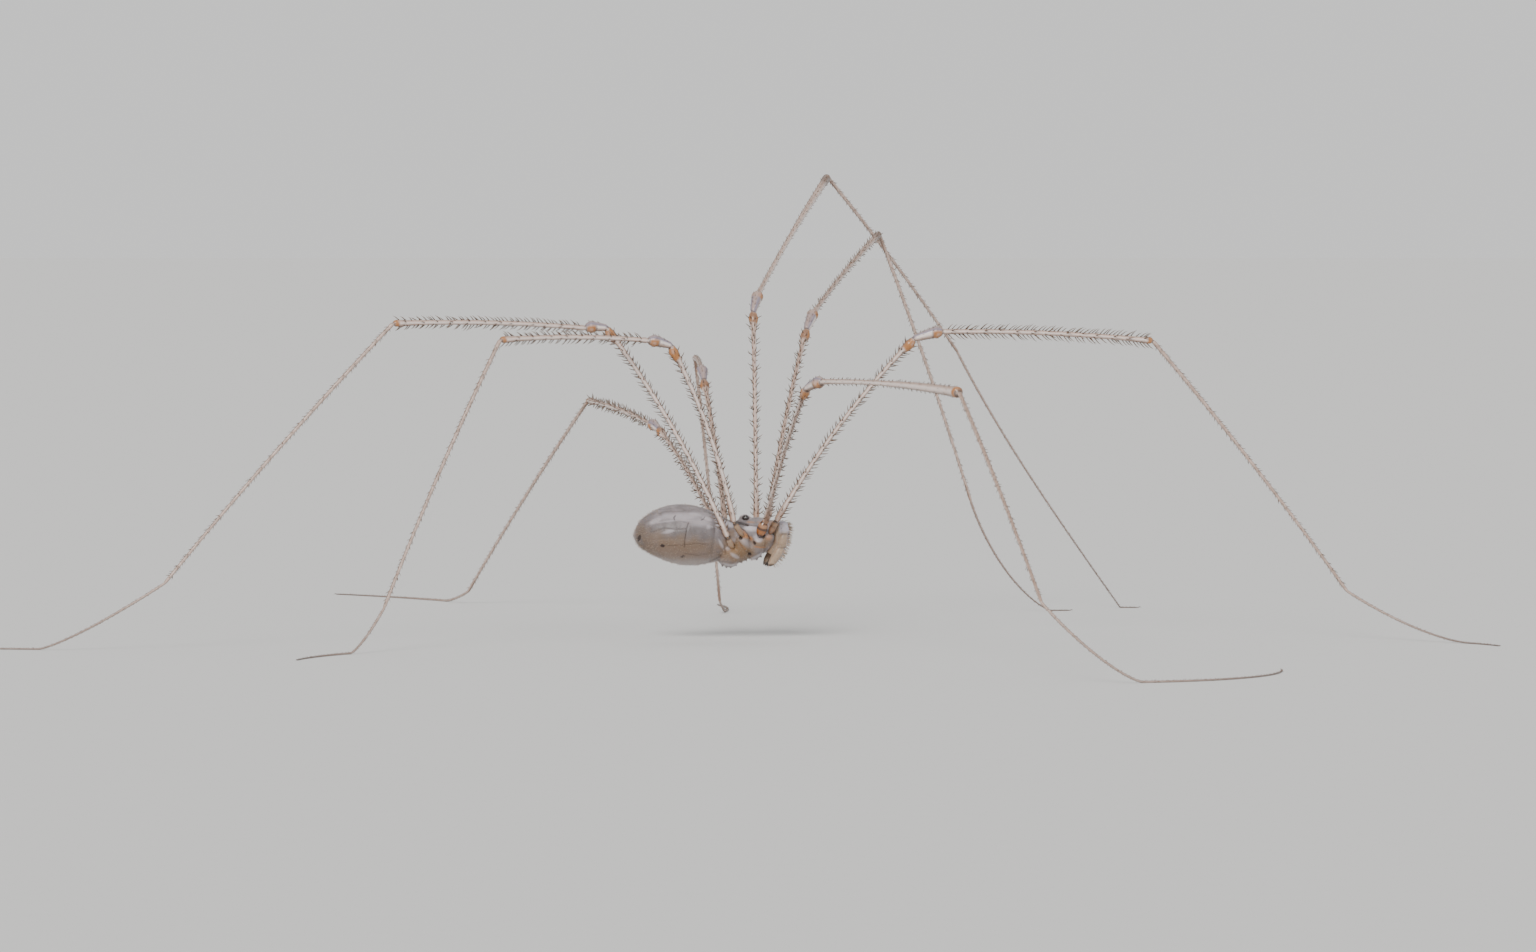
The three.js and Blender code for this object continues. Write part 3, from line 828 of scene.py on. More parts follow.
def tarsus_line(start, key, length):
    """The tarsus sinks to the floor, lies on it and swings, with a bead every BEAD_LENGTH."""
    run, ease, swing = STANCE[key][2:]
    beads = round(length / BEAD_LENGTH)
    rings = BEAD_RINGS * beads
    pace = length / rings
    share = np.arange(rings + 1) / rings
    bead = np.abs(np.sin(math.pi * beads * share))
    radii = TARSUS_RADII[0] + (TARSUS_RADII[1] - TARSUS_RADII[0]) * share
    radii = radii * (1 - BEAD_SWELL + BEAD_SWELL * np.sqrt(bead))
    drop = start[2] - radii[0]
    points = [start]
    covered = 0.0
    for ring in range(1, rings + 1):
        last = points[-1]
        flat = pace
        for attempt in range(3):
            height = radii[ring] + drop * max(0.0, 1 - (covered + flat) / run) ** ease
            flat = math.sqrt(max(pace**2 - (height - last[2]) ** 2, (0.2 * pace) ** 2))
        covered += flat
        reached = last + flat * direction(swing[0] + (swing[1] - swing[0]) * share[ring], 0)
        reached[2] = height
        points.append(reached)
    radii[-len(FOOT_TAPER):] *= FOOT_TAPER
    return np.array(points), radii, share * length


def leg_line(key):
    """The line of one leg from its hip to its foot, with what lies where along it."""
    number = side_of(key)[1]
    headings, rises = STANCE[key][:2]
    joint = leg_base(key)[2]
    parts = []
    for index, name in enumerate(SEGMENTS):
        length = LEG_LENGTHS[number][index]
        if name == "tarsus":
            line, thick, places = tarsus_line(joint, key, length)
        else:
            following = joint + length * direction(headings[index], rises[index])
            places = segment_places(length)
            line = segment_line(joint, following, SEGMENT_BOW[name], places, length)
            thick = segment_radius(name, places, length)
            if name == "tibia":
                thick = thick + TIBIA_CLUBS.get(key, 0) * step(0.35, 0.92, places / length)
            joint = following
        parts.append((line, thick, np.full(len(places), index), places, length - places))
    joined = (np.concatenate(column) for column in zip(*parts))
    leg = SimpleNamespace(**dict(zip(("points", "radii", "segment", "near", "far"), joined)))
    leg.blush = 0.35 if number < 3 else 0.12
    leg.tawny = 1.0 * (key in TAWNY_KNEES)
    upper = leg.segment < 4
    for softening in range(SOFTENINGS):
        blended = leg.points.copy()
        blended[1:-1] = (leg.points[:-2] + 2 * leg.points[1:-1] + leg.points[2:]) / 4
        leg.points[upper] = blended[upper]
    leg.tangents, leg.dorsal = line_frames(leg.points)
    bulb = (leg.segment == 0) * window(0.08, 0.6, 0.15, leg.far)
    knee = (leg.segment == 1) * window(0.2, 0.6, 0.25, leg.far)
    leg.points += leg.dorsal * ((knee * 0.5 - bulb) * BULB_DROP)[:, None]
    leg.along = run_of(leg.points)
    return leg


def leg_masks(leg, upper):
    """Markings, painted shading and painted highlights, by ring and by how far round towards the back of
    the leg each vertex lies.
    """
    femur, patella, tibia, metatarsus, tarsus = ((leg.segment == k)[:, None] * 1.0 for k in range(5))
    near, far = leg.near[:, None], leg.far[:, None]
    bulb = window(*FEMUR_BULB, far)
    below = 1 - step(0.0, 0.35, upper)
    spot = window(*PATELLA_SPOT, far) * (1 - step(0.5 * leg.tawny, 0.35 + 0.5 * leg.tawny, upper))
    # Painted highlight: the shine thins the amber of the femur's bulb and of the patella's spot to pale
    # golden cream
    shine = window(*SHINE, far) * window(-0.7, -0.25, 0.12, upper)
    blush = leg.blush * window(0.04, 0.5, 0.25, near)
    amber = femur * (bulb * (1 - 0.4 * step(0.6, 0.9, upper)) + blush) + patella * spot
    amber = amber * (1 - (patella + femur * bulb) * shine * 0.55)
    amber = amber + tibia * window(*TIBIA_TIP, far) * ALL_AMBER * (1 - 0.7 * leg.tawny)
    lilac = patella * (step(0.1, 0.35, upper) - 0.75 * step(0.74, 0.92, upper))
    lilac = lilac * (1 - leg.tawny * window(*PATELLA_SPOT, far) * 0.7)
    # Painted highlights: a light band along the flank of the patella, femur and tibia
    white = patella * window(-0.4, 0.12, 0.12, upper) * window(0.1, 5, 0.1, near) * 0.9
    white = white + (femur + tibia) * window(-0.3, 0.3, 0.12, upper) * 0.6
    ring = window(-1, 0.03, 0.025, near) + window(-1, 0.03, 0.025, far)
    dark = (femur * step(0.5, 1, near) + patella + tibia + metatarsus) * ring * 0.75
    # Painted shade: a dark line along the underside of the patella
    dark = dark + patella * (1 - step(-0.98, -0.82, upper)) * 0.6
    dark = dark + patella * window(0.43, 0.5, 0.03, far) * below * 0.5
    dark = dark + femur * (bulb * step(0.62, 0.85, upper) * 0.35 + window(0.35, 0.5, 0.1, near) * 0.15)
    dark = dark + leg.tawny * tibia * (window(0.02, 0.75, 0.25, far) * 0.5 + 0.12)
    dark = dark + tarsus * (0.15 + 0.6 * near / (near + far))
    speckle = metatarsus * 0.55 + tarsus * 0.35 + (femur + tibia) * 0.22
    # Painted shade: top and underside of the leg darker, the flank between them lighter
    painted_edge_shade = step(0.35, 0.85, -upper) + 0.55 * step(0.35, 0.85, upper)
    return {
        "amber": amber, "lilac": lilac, "white": white * (1 - 0.8 * amber), "dark": dark,
        "speckle": speckle, "stripe": 1 - painted_edge_shade * (1 - 0.4 * tarsus),
    }


def leg_skin(key, sides):
    leg = leg_line(key)
    piece = tube(f"leg_{key}", leg.points, leg.radii, sides)
    vertices = coordinates(piece)
    if len(vertices) != len(leg.points) * sides:
        raise RuntimeError(
            f"leg {key} has {len(vertices)} vertices, not {len(leg.points)} rings of {sides}")
    spokes = vertices.reshape(-1, sides, 3) - leg.points[:, None, :]
    upper = np.einsum("rsc,rc->rs", unit(spokes), leg.dorsal)
    for name, values in leg_masks(leg, upper).items():
        set_mask(piece, name, (values + 0 * upper).ravel())
    return piece


def leg_bristles(key, settings, seed):
    """Rows of bristles round the leg, slanting towards the foot."""
    leg = leg_line(key)
    random = np.random.default_rng(seed)
    sideways = np.cross(leg.tangents, leg.dorsal)
    rows = []
    for index, name in enumerate(SEGMENTS):
        spacing, below, above, lean = BRISTLES[name]
        member = np.flatnonzero(leg.segment == index)
        start, end = leg.along[member[0]], leg.along[member[-1]]
        scale = settings.length * (TIBIA_BRISTLES.get(key, 1) if name == "tibia" else 1)
        for row in range(BRISTLE_ROWS):
            pace = spacing * (FLANK_PACE if row in FLANK_ROWS else 1)
            place = np.arange(start + (spacing * (row % 2) / 2 + 0.3), end - 0.2, pace)
            count = len(place)
            place = place + random.uniform(-0.25, 0.25, count) * spacing
            ring = np.searchsorted(leg.along, place).clip(1, len(leg.along) - 2)
            angle = 2 * math.pi * (row + 0.5) / BRISTLE_ROWS + random.normal(0, 0.16, count)
            cosine, sine = np.cos(angle)[:, None], np.sin(angle)[:, None]
            out = leg.dorsal[ring] * cosine + sideways[ring] * sine
            length = below + (above - below) * (1 + np.cos(angle)) / 2
            length = length * random.uniform(0.78, 1.15, count) * scale
            tilt = np.radians(lean + random.normal(0, 5, count))[:, None]
            aim = leg.tangents[ring] * np.cos(tilt) + out * np.sin(tilt)
            gap = np.maximum(leg.along[ring] - leg.along[ring - 1], 1e-6)
            share = ((place - leg.along[ring - 1]) / gap).clip(0, 1)[:, None]
            center = leg.points[ring - 1] + (leg.points[ring] - leg.points[ring - 1]) * share
            root = center + out * (leg.radii[ring] * 0.92)[:, None]
            tip = root + aim * length[:, None]
            thick = settings.thickness / 2 * np.clip(length / 0.25, 0.45, 1.1)
            patch = map_places(MAP_ALONG, place / leg.along[-1], (angle / (2 * math.pi)) % 1)
            keep = tip[:, 2] > BRISTLE_FLOOR_GAP
            rows.append([values[keep] for values in (root, tip, out, thick, patch)])
    return hairs(f"bristles_{key}", *(np.concatenate(column) for column in zip(*rows)))


# The trunk: abdomen, carapace, coxae and eye turret in one skin


def trunk_core():
    """A sphere with its poles at the body's two ends, drawn out to the stations."""
    piece = ball("trunk core", (0, 0, 0), (1, 1, 1))
    down, left, front = coordinates(piece).T
    places, backs, bellies, widths = np.array(TRUNK_STATIONS).T
    x = places[0] + (places[-1] - places[0]) * (1 + front) / 2
    spoke = np.hypot(down, left)
    across, upward = (
        np.where(spoke > 1e-6, side / np.maximum(spoke, 1e-6), 0) for side in (left, -down))
    edge = np.where(upward > 0, catmull(x, places, backs), catmull(x, places, bellies))
    z = TRUNK_MIDDLE_HEIGHT + np.abs(upward) * (edge - TRUNK_MIDDLE_HEIGHT)
    set_coordinates(piece, np.stack((x, across * catmull(x, places, widths), z), axis=1))
    return piece


def coxa_tube(key):
    inner, outer = leg_base(key)[:2]
    t = np.linspace(0, 1, 24)
    places, shares = np.array(COXA_PROFILE)
    radii = eased(t, places, shares * COXA_RADIUS[side_of(key)[1]])
    return tube(f"coxa {key}", segment_line(inner, outer, -COXA_SAG, t, 1), radii, 20)


def line_distance(points, line):
    """Distance in x and z of every point from a line of several points."""
    flat = points[:, (0, 2)]
    best = np.full(len(flat), 1e9)
    for start, end in zip(np.array(line[:-1]), np.array(line[1:])):
        span = end - start
        t = np.clip(((flat - start) @ span) / (span @ span), 0, 1)
        best = np.minimum(best, np.linalg.norm(flat - start - t[:, None] * span, axis=1))
    return best


def soft_noise(points, scale, seed):
    """Smooth noise from a few waves in seeded directions."""
    random = np.random.default_rng(seed)
    total = np.zeros(len(points))
    for wave in range(10):
        aim = random.normal(size=3)
        aim *= scale * random.uniform(0.7, 1.4) / np.linalg.norm(aim)
        total += np.sin(points @ aim + random.uniform(0, 2 * math.pi))
    return total / 10


def trunk_folds(x, z, waist, flank):
    """Depth of the furrows between the rings, of the waist and of the fold along the flanks."""
    depth = np.zeros(len(x))
    for ring in range(1, FURROWS + 1):
        place = -FURROW_SPACING * ring - 0.1 * step(4.6, 5.8, z)
        groove = bell(x - place, 0.055)
        depth += 0.22 * groove * step(4.5, 5.3, z) * step(-3.55, -3.0, x)
        depth += 0.4 * groove * (1 - step(3.6, 4.0, z))
    rim_fold = bell(z - 4.62 - 0.05 * np.sin(2.2 * x), 0.05)
    depth += 1.4 * waist
    return depth + 0.5 * rim_fold * flank * (1 - step(-0.6, 0.0, x)) * step(-3.4, -2.8, x)


def spot_shares(seen, wobble, dark, spots):
    """How strongly each of some tilted oval spots colours each point."""
    for strength, cx, cz, long, high, tilt in spots:
        c, s = math.cos(math.radians(tilt)), math.sin(math.radians(tilt))
        across, over = seen[:, 0] - cx, seen[:, 2] - cz
        reach = np.hypot((across * c + over * s) / long, (over * c - across * s) / high)
        soft = 0.25 if dark else 0.6
        yield strength * (1 - step(1 - soft, 1 + soft, reach + wobble * (0.12 if dark else 0.45)))


def sculpt_trunk(piece, fold_depth):
    """Presses furrows, folds and lines into the skin, and stores its markings, painted light and painted
    shade among them.
    """
    points = coordinates(piece)
    normals = vertex_normals(piece)
    x, y, z = points.T
    seen = np.stack((x + SIDE_SLANT[0] * np.abs(y), y, z + SIDE_SLANT[1] * np.abs(y)), axis=1)
    flank = np.maximum(step(0.1, 0.4, np.abs(normals[:, 1])), 0.85 * step(0.3, 0.7, x))
    waist = bell(x - WAIST_X - WAIST_LEAN * (z - 4.8), 0.08)
    depth = trunk_folds(x, z, waist, flank) * fold_depth
    wobble = soft_noise(points, *NOISES["wobble"])
    masks = {name: np.zeros(len(points)) for name in SPOTS}

    def raise_mask(name, values):
        masks[name] = np.maximum(masks[name], values)
    for name, spots in SPOTS.items():
        for share in spot_shares(seen, wobble, name == "dark", spots):
            raise_mask(name, share)
            if name == "dark":
                depth += SPOT_DEPTH * share
    for name, lines in LINES.items():
        for strength, width, deep, line in lines:
            trace = 1 - step(width * 0.3, width * 1.5, line_distance(seen, line) + wobble * 0.012)
            raise_mask(name, strength * trace * flank)
            depth += deep * trace * flank
    around_eye = np.linalg.norm(points - (EYE_CENTER.x, 0, EYE_CENTER.z), axis=1)
    on_turret = (1 - step(0.3, 0.42, around_eye)) * step(5.4, 5.5, z)
    socket = np.linalg.norm(np.stack((x, np.abs(y), z), axis=1) - EYE_CENTER, axis=1)
    raise_mask("dark", 0.9 * (1 - step(0.15, 0.19, socket)))
    # Painted shade: darker low in the waist's fold
    raise_mask("dark", 0.3 * waist * (1 - step(3.5, 3.9, z)))
    # Painted highlight: a broken pale band high on the back of the abdomen
    gloss = soft_noise(points * (0.35, 1, 1.6), *NOISES["gloss"])
    painted_top_gloss = window(5.3, 5.85, 0.16, z) * (1 - step(-0.3, 0.2, x)) * step(-3.4, -2.8, x)
    raise_mask("pale", painted_top_gloss * step(-0.05, 0.35, gloss) * 0.4)
    masks["tan"] *= 1 - 0.9 * on_turret

    behind = 1 - step(-0.35, 0.05, x)
    middle = window(4.15, 5.3, 0.25, z) + 0.5 * (1 - step(-3.5, -2.7, x))
    net = soft_noise(points * (0.8, 1, 1.25), *NOISES["net"])
    veins = bell(net, 0.045) * behind * step(4.4, 5.0, z)
    cells = 0.5 + 0.5 * np.tanh(soft_noise(points, *NOISES["cells"]) * 5)
    masks["deep"] = np.maximum(middle * (0.5 + 0.35 * cells) * behind * flank, 0.75 * veins)

    # Painted light: a cream glow along the ridge of the back and the belly and at the rear tip, a
    # painted highlight on top of the eye turret, and painted bounce light low on the abdomen
    stations = np.array(TRUNK_STATIONS)
    half_width = np.maximum(catmull(x, stations[:, 0], stations[:, 3]), 0.05)
    ridge = 1 - step(0.05, 0.2, np.abs(y) / half_width)
    rim = ridge * (0.75 - 0.45 * step(-0.4, 0.2, x)) + 0.5 * (1 - step(-3.72, -3.62, x))
    rim = np.maximum(rim, on_turret * 0.35 * step(0.5, 0.9, normals[:, 2]))
    masks["rim"] = (rim + 0.5 * behind * (1 - step(3.5, 3.95, z))) * 0.8
    fine = soft_noise(points, *NOISES["fine"]) * FINE_DEPTH
    set_coordinates(piece, points + normals * (fine - depth)[:, None])
    for name, values in masks.items():
        set_mask(piece, name, values)


def crest_spine(index, side):
    """One of the small blunt spines in a row over each eye."""
    angle = math.radians(-55 + 110 * index / (CREST_SPINES - 1))
    radius, length = CREST_SPINE
    root = Vector(TURRET_CENTER) + Vector((math.sin(angle) * 0.27, side * 0.11, math.cos(angle) * 0.21))
    tip = root + Vector((math.sin(angle), side * 0.25, math.cos(angle))) * length
    return smooth_tube("crest spine", [(*root, radius), (*tip, radius * 0.4)], 1, 8, 6)


def nub(belly, x, y, size):
    """A small bump that sits on the lowest skin at one place of the belly."""
    near = np.hypot(belly[:, 0] - x, belly[:, 1] - y) < NUB_REACH
    return ball("nub", (x, y, belly[near, 2].min()), (size, size, size * 1.5))


def skin_over(pieces, name, voxel, smoothing):
    """One closed smooth skin round several pieces."""
    skin = join(pieces, name)
    finish_with(skin, "REMESH", mode="VOXEL", voxel_size=voxel)
    finish_with(skin, "SMOOTH", factor=0.5, iterations=smoothing)
    return skin


def trunk_skin(settings):
    pieces = [trunk_core()] + [coxa_tube(key) for key in STANCE]
    belly = np.concatenate([coordinates(piece) for piece in pieces])
    pieces.append(ball("turret", TURRET_CENTER, TURRET_SIZE))
    pieces.append(ball("turret skirt", TURRET_SKIRT, TURRET_SKIRT_SIZE))
    for side in (1, -1):
        socket = (EYE_CENTER.x, side * (EYE_CENTER.y - SOCKET_INSET), EYE_CENTER.z)
        pieces.append(ball("eye socket", socket, SOCKET_SIZE))
        pieces += [crest_spine(index, side) for index in range(CREST_SPINES)]
        pieces += [nub(belly, x, y * side, size) for x, y, size in NUBS]
        pieces.append(smooth_tube("front hood", HOOD, side, 12, 20))
    skin = skin_over(pieces, "trunk_skin", settings.voxel, settings.smoothing)
    sculpt_trunk(skin, settings.fold_depth)
    return skin


def bead_template():
    """One trochanter: a bead with a dark collar at each end, its axis along z from 0 to 1."""
    piece = ball("trochanter bead", (0, 0, 0.5), (1, 1, 0.5))
    points = coordinates(piece)
    z = points[:, 2]
    swell = 1 + 0.1 * np.sin(math.pi * z) - 0.1 * bell(z - 0.58, 0.05) - 0.14 * bell(z - 0.86, 0.05)
    points[:, :2] *= swell[:, None]
    set_coordinates(piece, points)
    set_mask(piece, "collar", window(0.8, 0.92, 0.03, z) * 0.9)
    set_mask(piece, "bands", window(0.47, 0.6, 0.03, z) * 0.85 + (1 - step(0.18, 0.28, z)) * 0.85)
    # Painted highlight: a pale golden band between the collar and the middle ring
    set_mask(piece, "gold", window(0.62, 0.79, 0.03, z))
    return piece


def claw_template():
    """One hooked claw that points along +X from the origin and curves down."""
    piece = added(
        bpy.ops.mesh.primitive_cone_add, vertices=8, radius1=CLAW_RADII[0], radius2=CLAW_RADII[1],
        depth=CLAW_LENGTH, location=(CLAW_LENGTH / 2, 0, 0), rotation=(0, math.pi / 2, 0))
    bpy.ops.object.transform_apply(location=True, rotation=True, scale=True)
    edit_mesh(bpy.ops.mesh.subdivide, number_cuts=3, smoothness=0)
    points = coordinates(piece)
    share = np.clip(points[:, 0] / CLAW_LENGTH, 0, 1)
    points[:, 2] += CLAW_HOOK[0] * np.sin(math.pi * share) - CLAW_HOOK[1] * points[:, 0] ** 2
    set_coordinates(piece, points)
    return piece


def turn_to(axis_from, axis_to):
    return Vector(axis_from).rotation_difference(Vector(axis_to)).to_matrix().to_4x4()


def mouthpart(name, tubes, side, voxel):
    pieces = [smooth_tube(f"{name} part", stations, side, 20, 48) for stations in tubes]
    return skin_over(pieces, name, voxel, 3)


def paint_chelicera(piece):
    points = coordinates(piece)
    z = points[:, 2]
    blotch = 0.5 + 0.5 * soft_noise(points, *NOISES["pincer"])
    set_mask(piece, "dark", 0.95 * (1 - step(3.42, 3.66, z)))
    set_mask(piece, "white", step(4.6, 5.2, z) * 0.7)
    set_mask(piece, "brown", window(3.66, 4.0, 0.12, z) * 0.7 + 0.2 * blotch * window(4.0, 4.8, 0.2, z))


def paint_palp(piece):
    points = coordinates(piece)
    x, z = points[:, 0], points[:, 2]
    front = step(0.35, 0.9, vertex_normals(piece)[:, 0])
    knee = step(4.78, 5.05, z) * step(2.72, 2.87, x)
    joints = window(4.8, 4.88, 0.04, z) * step(2.86, 2.92, x)
    joints = joints + window(4.18, 4.26, 0.04, z) * step(2.7, 2.76, x)
    inside = (1 - step(-0.12, 0.0, x - (2.3 + 0.42 * step(3.4, 4.6, z)))) * (1 - step(4.7, 4.9, z))
    blotch = 0.5 + 0.5 * soft_noise(points, *NOISES["feeler"])
    set_mask(piece, "dark", 0.75 * (1 - step(3.44, 3.52, z)) + 0.45 * joints)
    set_mask(piece, "white", knee * 0.9 + front * 0.6)
    set_mask(piece, "brown", inside * (0.3 + 0.45 * blotch) + 0.12 * blotch * (1 - knee))


def surface(name):
    """Points and normals of a settled piece, the points back in the body's millimetres."""
    piece = bpy.data.objects[name]
    return coordinates(piece) / MM - np.array(FRAME_SHIFT), vertex_normals(piece)


def skin_hairs(name, points, normals, wanted, seed, center_y, coat):
    """Hairs scattered on a skin where they are wanted, leaning to the coat's lay."""
    count, lay, length, thickness = coat
    random = np.random.default_rng(seed)
    chosen = random.choice(len(points), size=count, replace=False, p=wanted / wanted.sum())
    roots, outward = points[chosen], unit(normals[chosen])
    aim = unit(outward + np.array(lay) + random.normal(0, 0.15, (count, 3)))
    lengths = length * random.uniform(0.6, 1.15, count)
    return hairs(
        name, roots - outward * 0.01, roots + aim * lengths[:, None], outward,
        thickness / 2 * random.uniform(0.8, 1.1, count), round_place(roots, center_y))


def round_place(points, center_y):
    """Places on an unwrap round a body part: along it and the angle round it."""
    low, high = points.min(axis=0), points.max(axis=0)
    angle = np.arctan2(points[:, 1] - center_y, points[:, 2] - (low[2] + high[2]) / 2)
    along = (points[:, 0] - low[0]) / (high[0] - low[0])
    return map_places(MAP_ROUND, along, angle / (2 * math.pi) + 0.5)


def color_property(name, description, default):
    return bpy.props.FloatVectorProperty(
        name=name, description=description, default=default, size=3, min=0, max=1, subtype="COLOR")


def number_property(name, description, default, least=0.0, **more):
    return bpy.props.FloatProperty(
        name=name, description=description, default=default, min=least, **more)


class HarvestmanColors(bpy.types.PropertyGroup):
    __annotations__ = {
        key: color_property(key.replace("_", " ").capitalize(), description, default)
        for key, (description, default) in PALETTE.items()}


class HarvestmanTrunk(bpy.types.PropertyGroup):
    voxel: number_property("Skin fineness", "Voxel of the trunk's skin in mm", 0.036, 0.02)
    smoothing: bpy.props.IntProperty(
        name="Smoothing", description="Rounds of smoothing of the skin", default=5, min=0)
    fold_depth: number_property("Fold depth", "Depth of the folds in mm", 0.028)
    mouth_voxel: number_property("Mouthpart fineness", "Voxel of the mouthparts in mm", 0.018, 0.01)


class HarvestmanLegs(bpy.types.PropertyGroup):
    sides: bpy.props.IntProperty(
        name="Sides", description="Sides of the legs' tubes, an even number", default=12, min=6)


class HarvestmanBristles(bpy.types.PropertyGroup):
    length: number_property(
        "Length", "Length of the bristles as a share of the real one", 1.0, 0.1, subtype="FACTOR")
    thickness: number_property("Thickness", "Thickness of a bristle's root in mm", 0.05, 0.005)


class HarvestmanStage(bpy.types.PropertyGroup):
    floor_size: number_property("Floor", "Width of the floor", 60.0, unit="LENGTH")
    floor_color: color_property("Floor colour", "Plain pale floor", (0.7, 0.7, 0.695))
    backdrop: number_property("Backdrop", "Brightness of the plain backdrop behind the floor", 0.865)
    key_strength: number_property("Key light", "Strength of the main light", 3.2)
    sky_strength: number_property("Surroundings", "Strength of the even light from all round", 0.6)
    lens: number_property("Lens", "Focal length of the camera in mm", 150.0)
    camera_place: bpy.props.FloatVectorProperty(
        name="Camera", description="Camera's place from the body in mm",
        default=(-37.957, -287.337, 17.563))
    camera_aim: bpy.props.FloatVectorProperty(
        name="Aim", description="Point that the camera looks at in mm",
        default=(2.378, -0.334, 7.442))


def framed(point):
    """A point of the body in mm as a place in the frame in metres."""
    return (Vector(point) + FRAME_SHIFT) * MM


def look(piece, place, target):
    """Turns a light or a camera at one place towards another."""
    piece.rotation_euler = (target - place).to_track_quat("-Z", "Y").to_euler()


class HARVESTMAN_OT_stage(bpy.types.Operator):
    """Lay the floor, hang the lights and set the camera"""
    bl_idname = "harvestman.stage"
    bl_label = "Stage"

    def execute(self, context):
        stage = context.scene.harvestman_stage
        self.floor(stage)
        for name, place, spread, share, color in LIGHTS:
            lamp = added(bpy.ops.object.light_add, type="SUN", location=place)
            lamp.name = name
            lamp.data.angle = math.radians(spread)
            lamp.data.energy = stage.key_strength * share
            lamp.data.color = color
            look(lamp, Vector(place), Vector((0, 0, 0.008)))
        self.world(context.scene, stage)
        self.camera(context.scene, stage)
        return {"FINISHED"}

    def floor(self, stage):
        floor = added(
            bpy.ops.mesh.primitive_grid_add, x_subdivisions=8, y_subdivisions=8,
            size=stage.floor_size, location=(0, 0, 0))
        floor.name = "floor"

        def build(tree):
            place = add_node(tree, "ShaderNodeTexCoord").outputs["Object"]
            speck = add_node(
                tree, "ShaderNodeTexNoise", Vector=place, Scale=FLOOR_SPECK_SCALE, Detail=3.0).outputs[0]
            color = mixed(tree, spread_of(tree, speck, 0.0, 0.1), stage.floor_color, FLOOR_SPECKS)
            return color, spread_of(tree, speck, 0.75, 0.9), speck, 0.00001
        floor.data.materials.append(finish("pale floor", build))

    def world(self, scene, stage):
        world = bpy.data.worlds.new("studio")
        scene.world = world
        world.use_nodes = True
        tree = world.node_tree
        background = tree.nodes["Background"]
        seen = add_node(tree, "ShaderNodeLightPath").outputs["Is Camera Ray"]
        strength = spread_of(tree, seen, stage.sky_strength, stage.backdrop / BACKGROUND[0])
        feed(tree, background.inputs["Color"], BACKGROUND)
        feed(tree, background.inputs["Strength"], strength)

    def camera(self, scene, stage):
        place = framed(stage.camera_place)
        camera = added(bpy.ops.object.camera_add, location=place)
        camera.name = "camera"
        camera.data.lens = stage.lens
        camera.data.sensor_width = SENSOR_WIDTH
        camera.data.clip_start, camera.data.clip_end = CAMERA_CLIP
        look(camera, place, framed(stage.camera_aim))
        scene.camera = camera


class HARVESTMAN_OT_trunk(bpy.types.Operator):
    """Model the one skin of abdomen, carapace, coxae and eye turret"""
    bl_idname = "harvestman.trunk"
    bl_label = "Trunk skin"

    def execute(self, context):
        skin = trunk_skin(context.scene.harvestman_trunk)
        settle(skin, finish_of("translucent trunk shell"), "abdomen", "abdomen", "prosoma", "eye_turret")
        return {"FINISHED"}


class HARVESTMAN_OT_eyes(bpy.types.Operator):
    """Model one glossy eye with its ring and copy it to the other side"""
    bl_idname = "harvestman.eyes"
    bl_label = "Eyes"

    def execute(self, context):
        template = ball("eye", (0, 0, 0), (EYE_RADIUS, EYE_RADIUS * 0.92, EYE_RADIUS))
        for name, side in SIDES.items():
            place = (EYE_CENTER.x, EYE_CENTER.y * side, EYE_CENTER.z)
            eye = oriented(template, f"eyeball_{name}", Matrix.Translation(place))
            offset = coordinates(eye)[:, 1] * side - EYE_CENTER.y
            set_mask(eye, "rim", 1 - step(-0.02, 0.02, offset))
            settle(eye, finish_of("glossy eye"), "eye", f"eye_{name}")
        bpy.data.objects.remove(template)
        return {"FINISHED"}


class HARVESTMAN_OT_mouthparts(bpy.types.Operator):
    """Model the chelicerae and palps of both sides"""
    bl_idname = "harvestman.mouthparts"
    bl_label = "Mouthparts"

    def execute(self, context):
        voxel = context.scene.harvestman_trunk.mouth_voxel
        for name, side in SIDES.items():
            for stem, node, tubes, paint in (
                    ("pincer", "chelicera", CHELICERA_TUBES, paint_chelicera),
                    ("feeler", "palp", PALP_TUBES, paint_palp)):
                piece = mouthpart(f"{stem}_{name}", tubes, side, voxel)
                paint(piece)
                settle(piece, finish_of("mouthpart cuticle"), "mouthpart", f"{node}_{name}")
        return {"FINISHED"}


class HARVESTMAN_OT_trochanters(bpy.types.Operator):
    """Model one amber trochanter and copy it to each leg's base"""
    bl_idname = "harvestman.trochanters"
    bl_label = "Trochanters"

    def execute(self, context):
        template = bead_template()
        for key in STANCE:
            outer, hip = leg_base(key)[1:]
            axis = Vector(hip - outer)
            side, number = side_of(key)
            radius, amber, ringed, (x, y, z) = TROCHANTERS[number]
            size = Matrix.Diagonal((radius, radius, axis.length + 0.1, 1))
            start = Vector(outer) - axis.normalized() * 0.08 + Vector((x, y * side, z))
            place = Matrix.Translation(start) @ turn_to((0, 0, 1), axis) @ size
            bead = oriented(template, f"bead_{key}", place)
            for mask, value in (("amber", amber), ("ringed", ringed)):
                set_mask(bead, mask, np.full(len(bead.data.vertices), value))
            settle(bead, finish_of("amber trochanter"), "trochanter", f"leg_{key}_trochanter")
        bpy.data.objects.remove(template)
        return {"FINISHED"}


class HARVESTMAN_OT_legs(bpy.types.Operator):
    """Model the eight legs, each one skin from hip to foot"""
    bl_idname = "harvestman.legs"
    bl_label = "Legs"

    def execute(self, context):
        for key in STANCE:
            skin = leg_skin(key, context.scene.harvestman_legs.sides)
            settle(skin, finish_of("leg cuticle"), "leg", *(f"leg_{key}_{name}" for name in SEGMENTS))
        return {"FINISHED"}


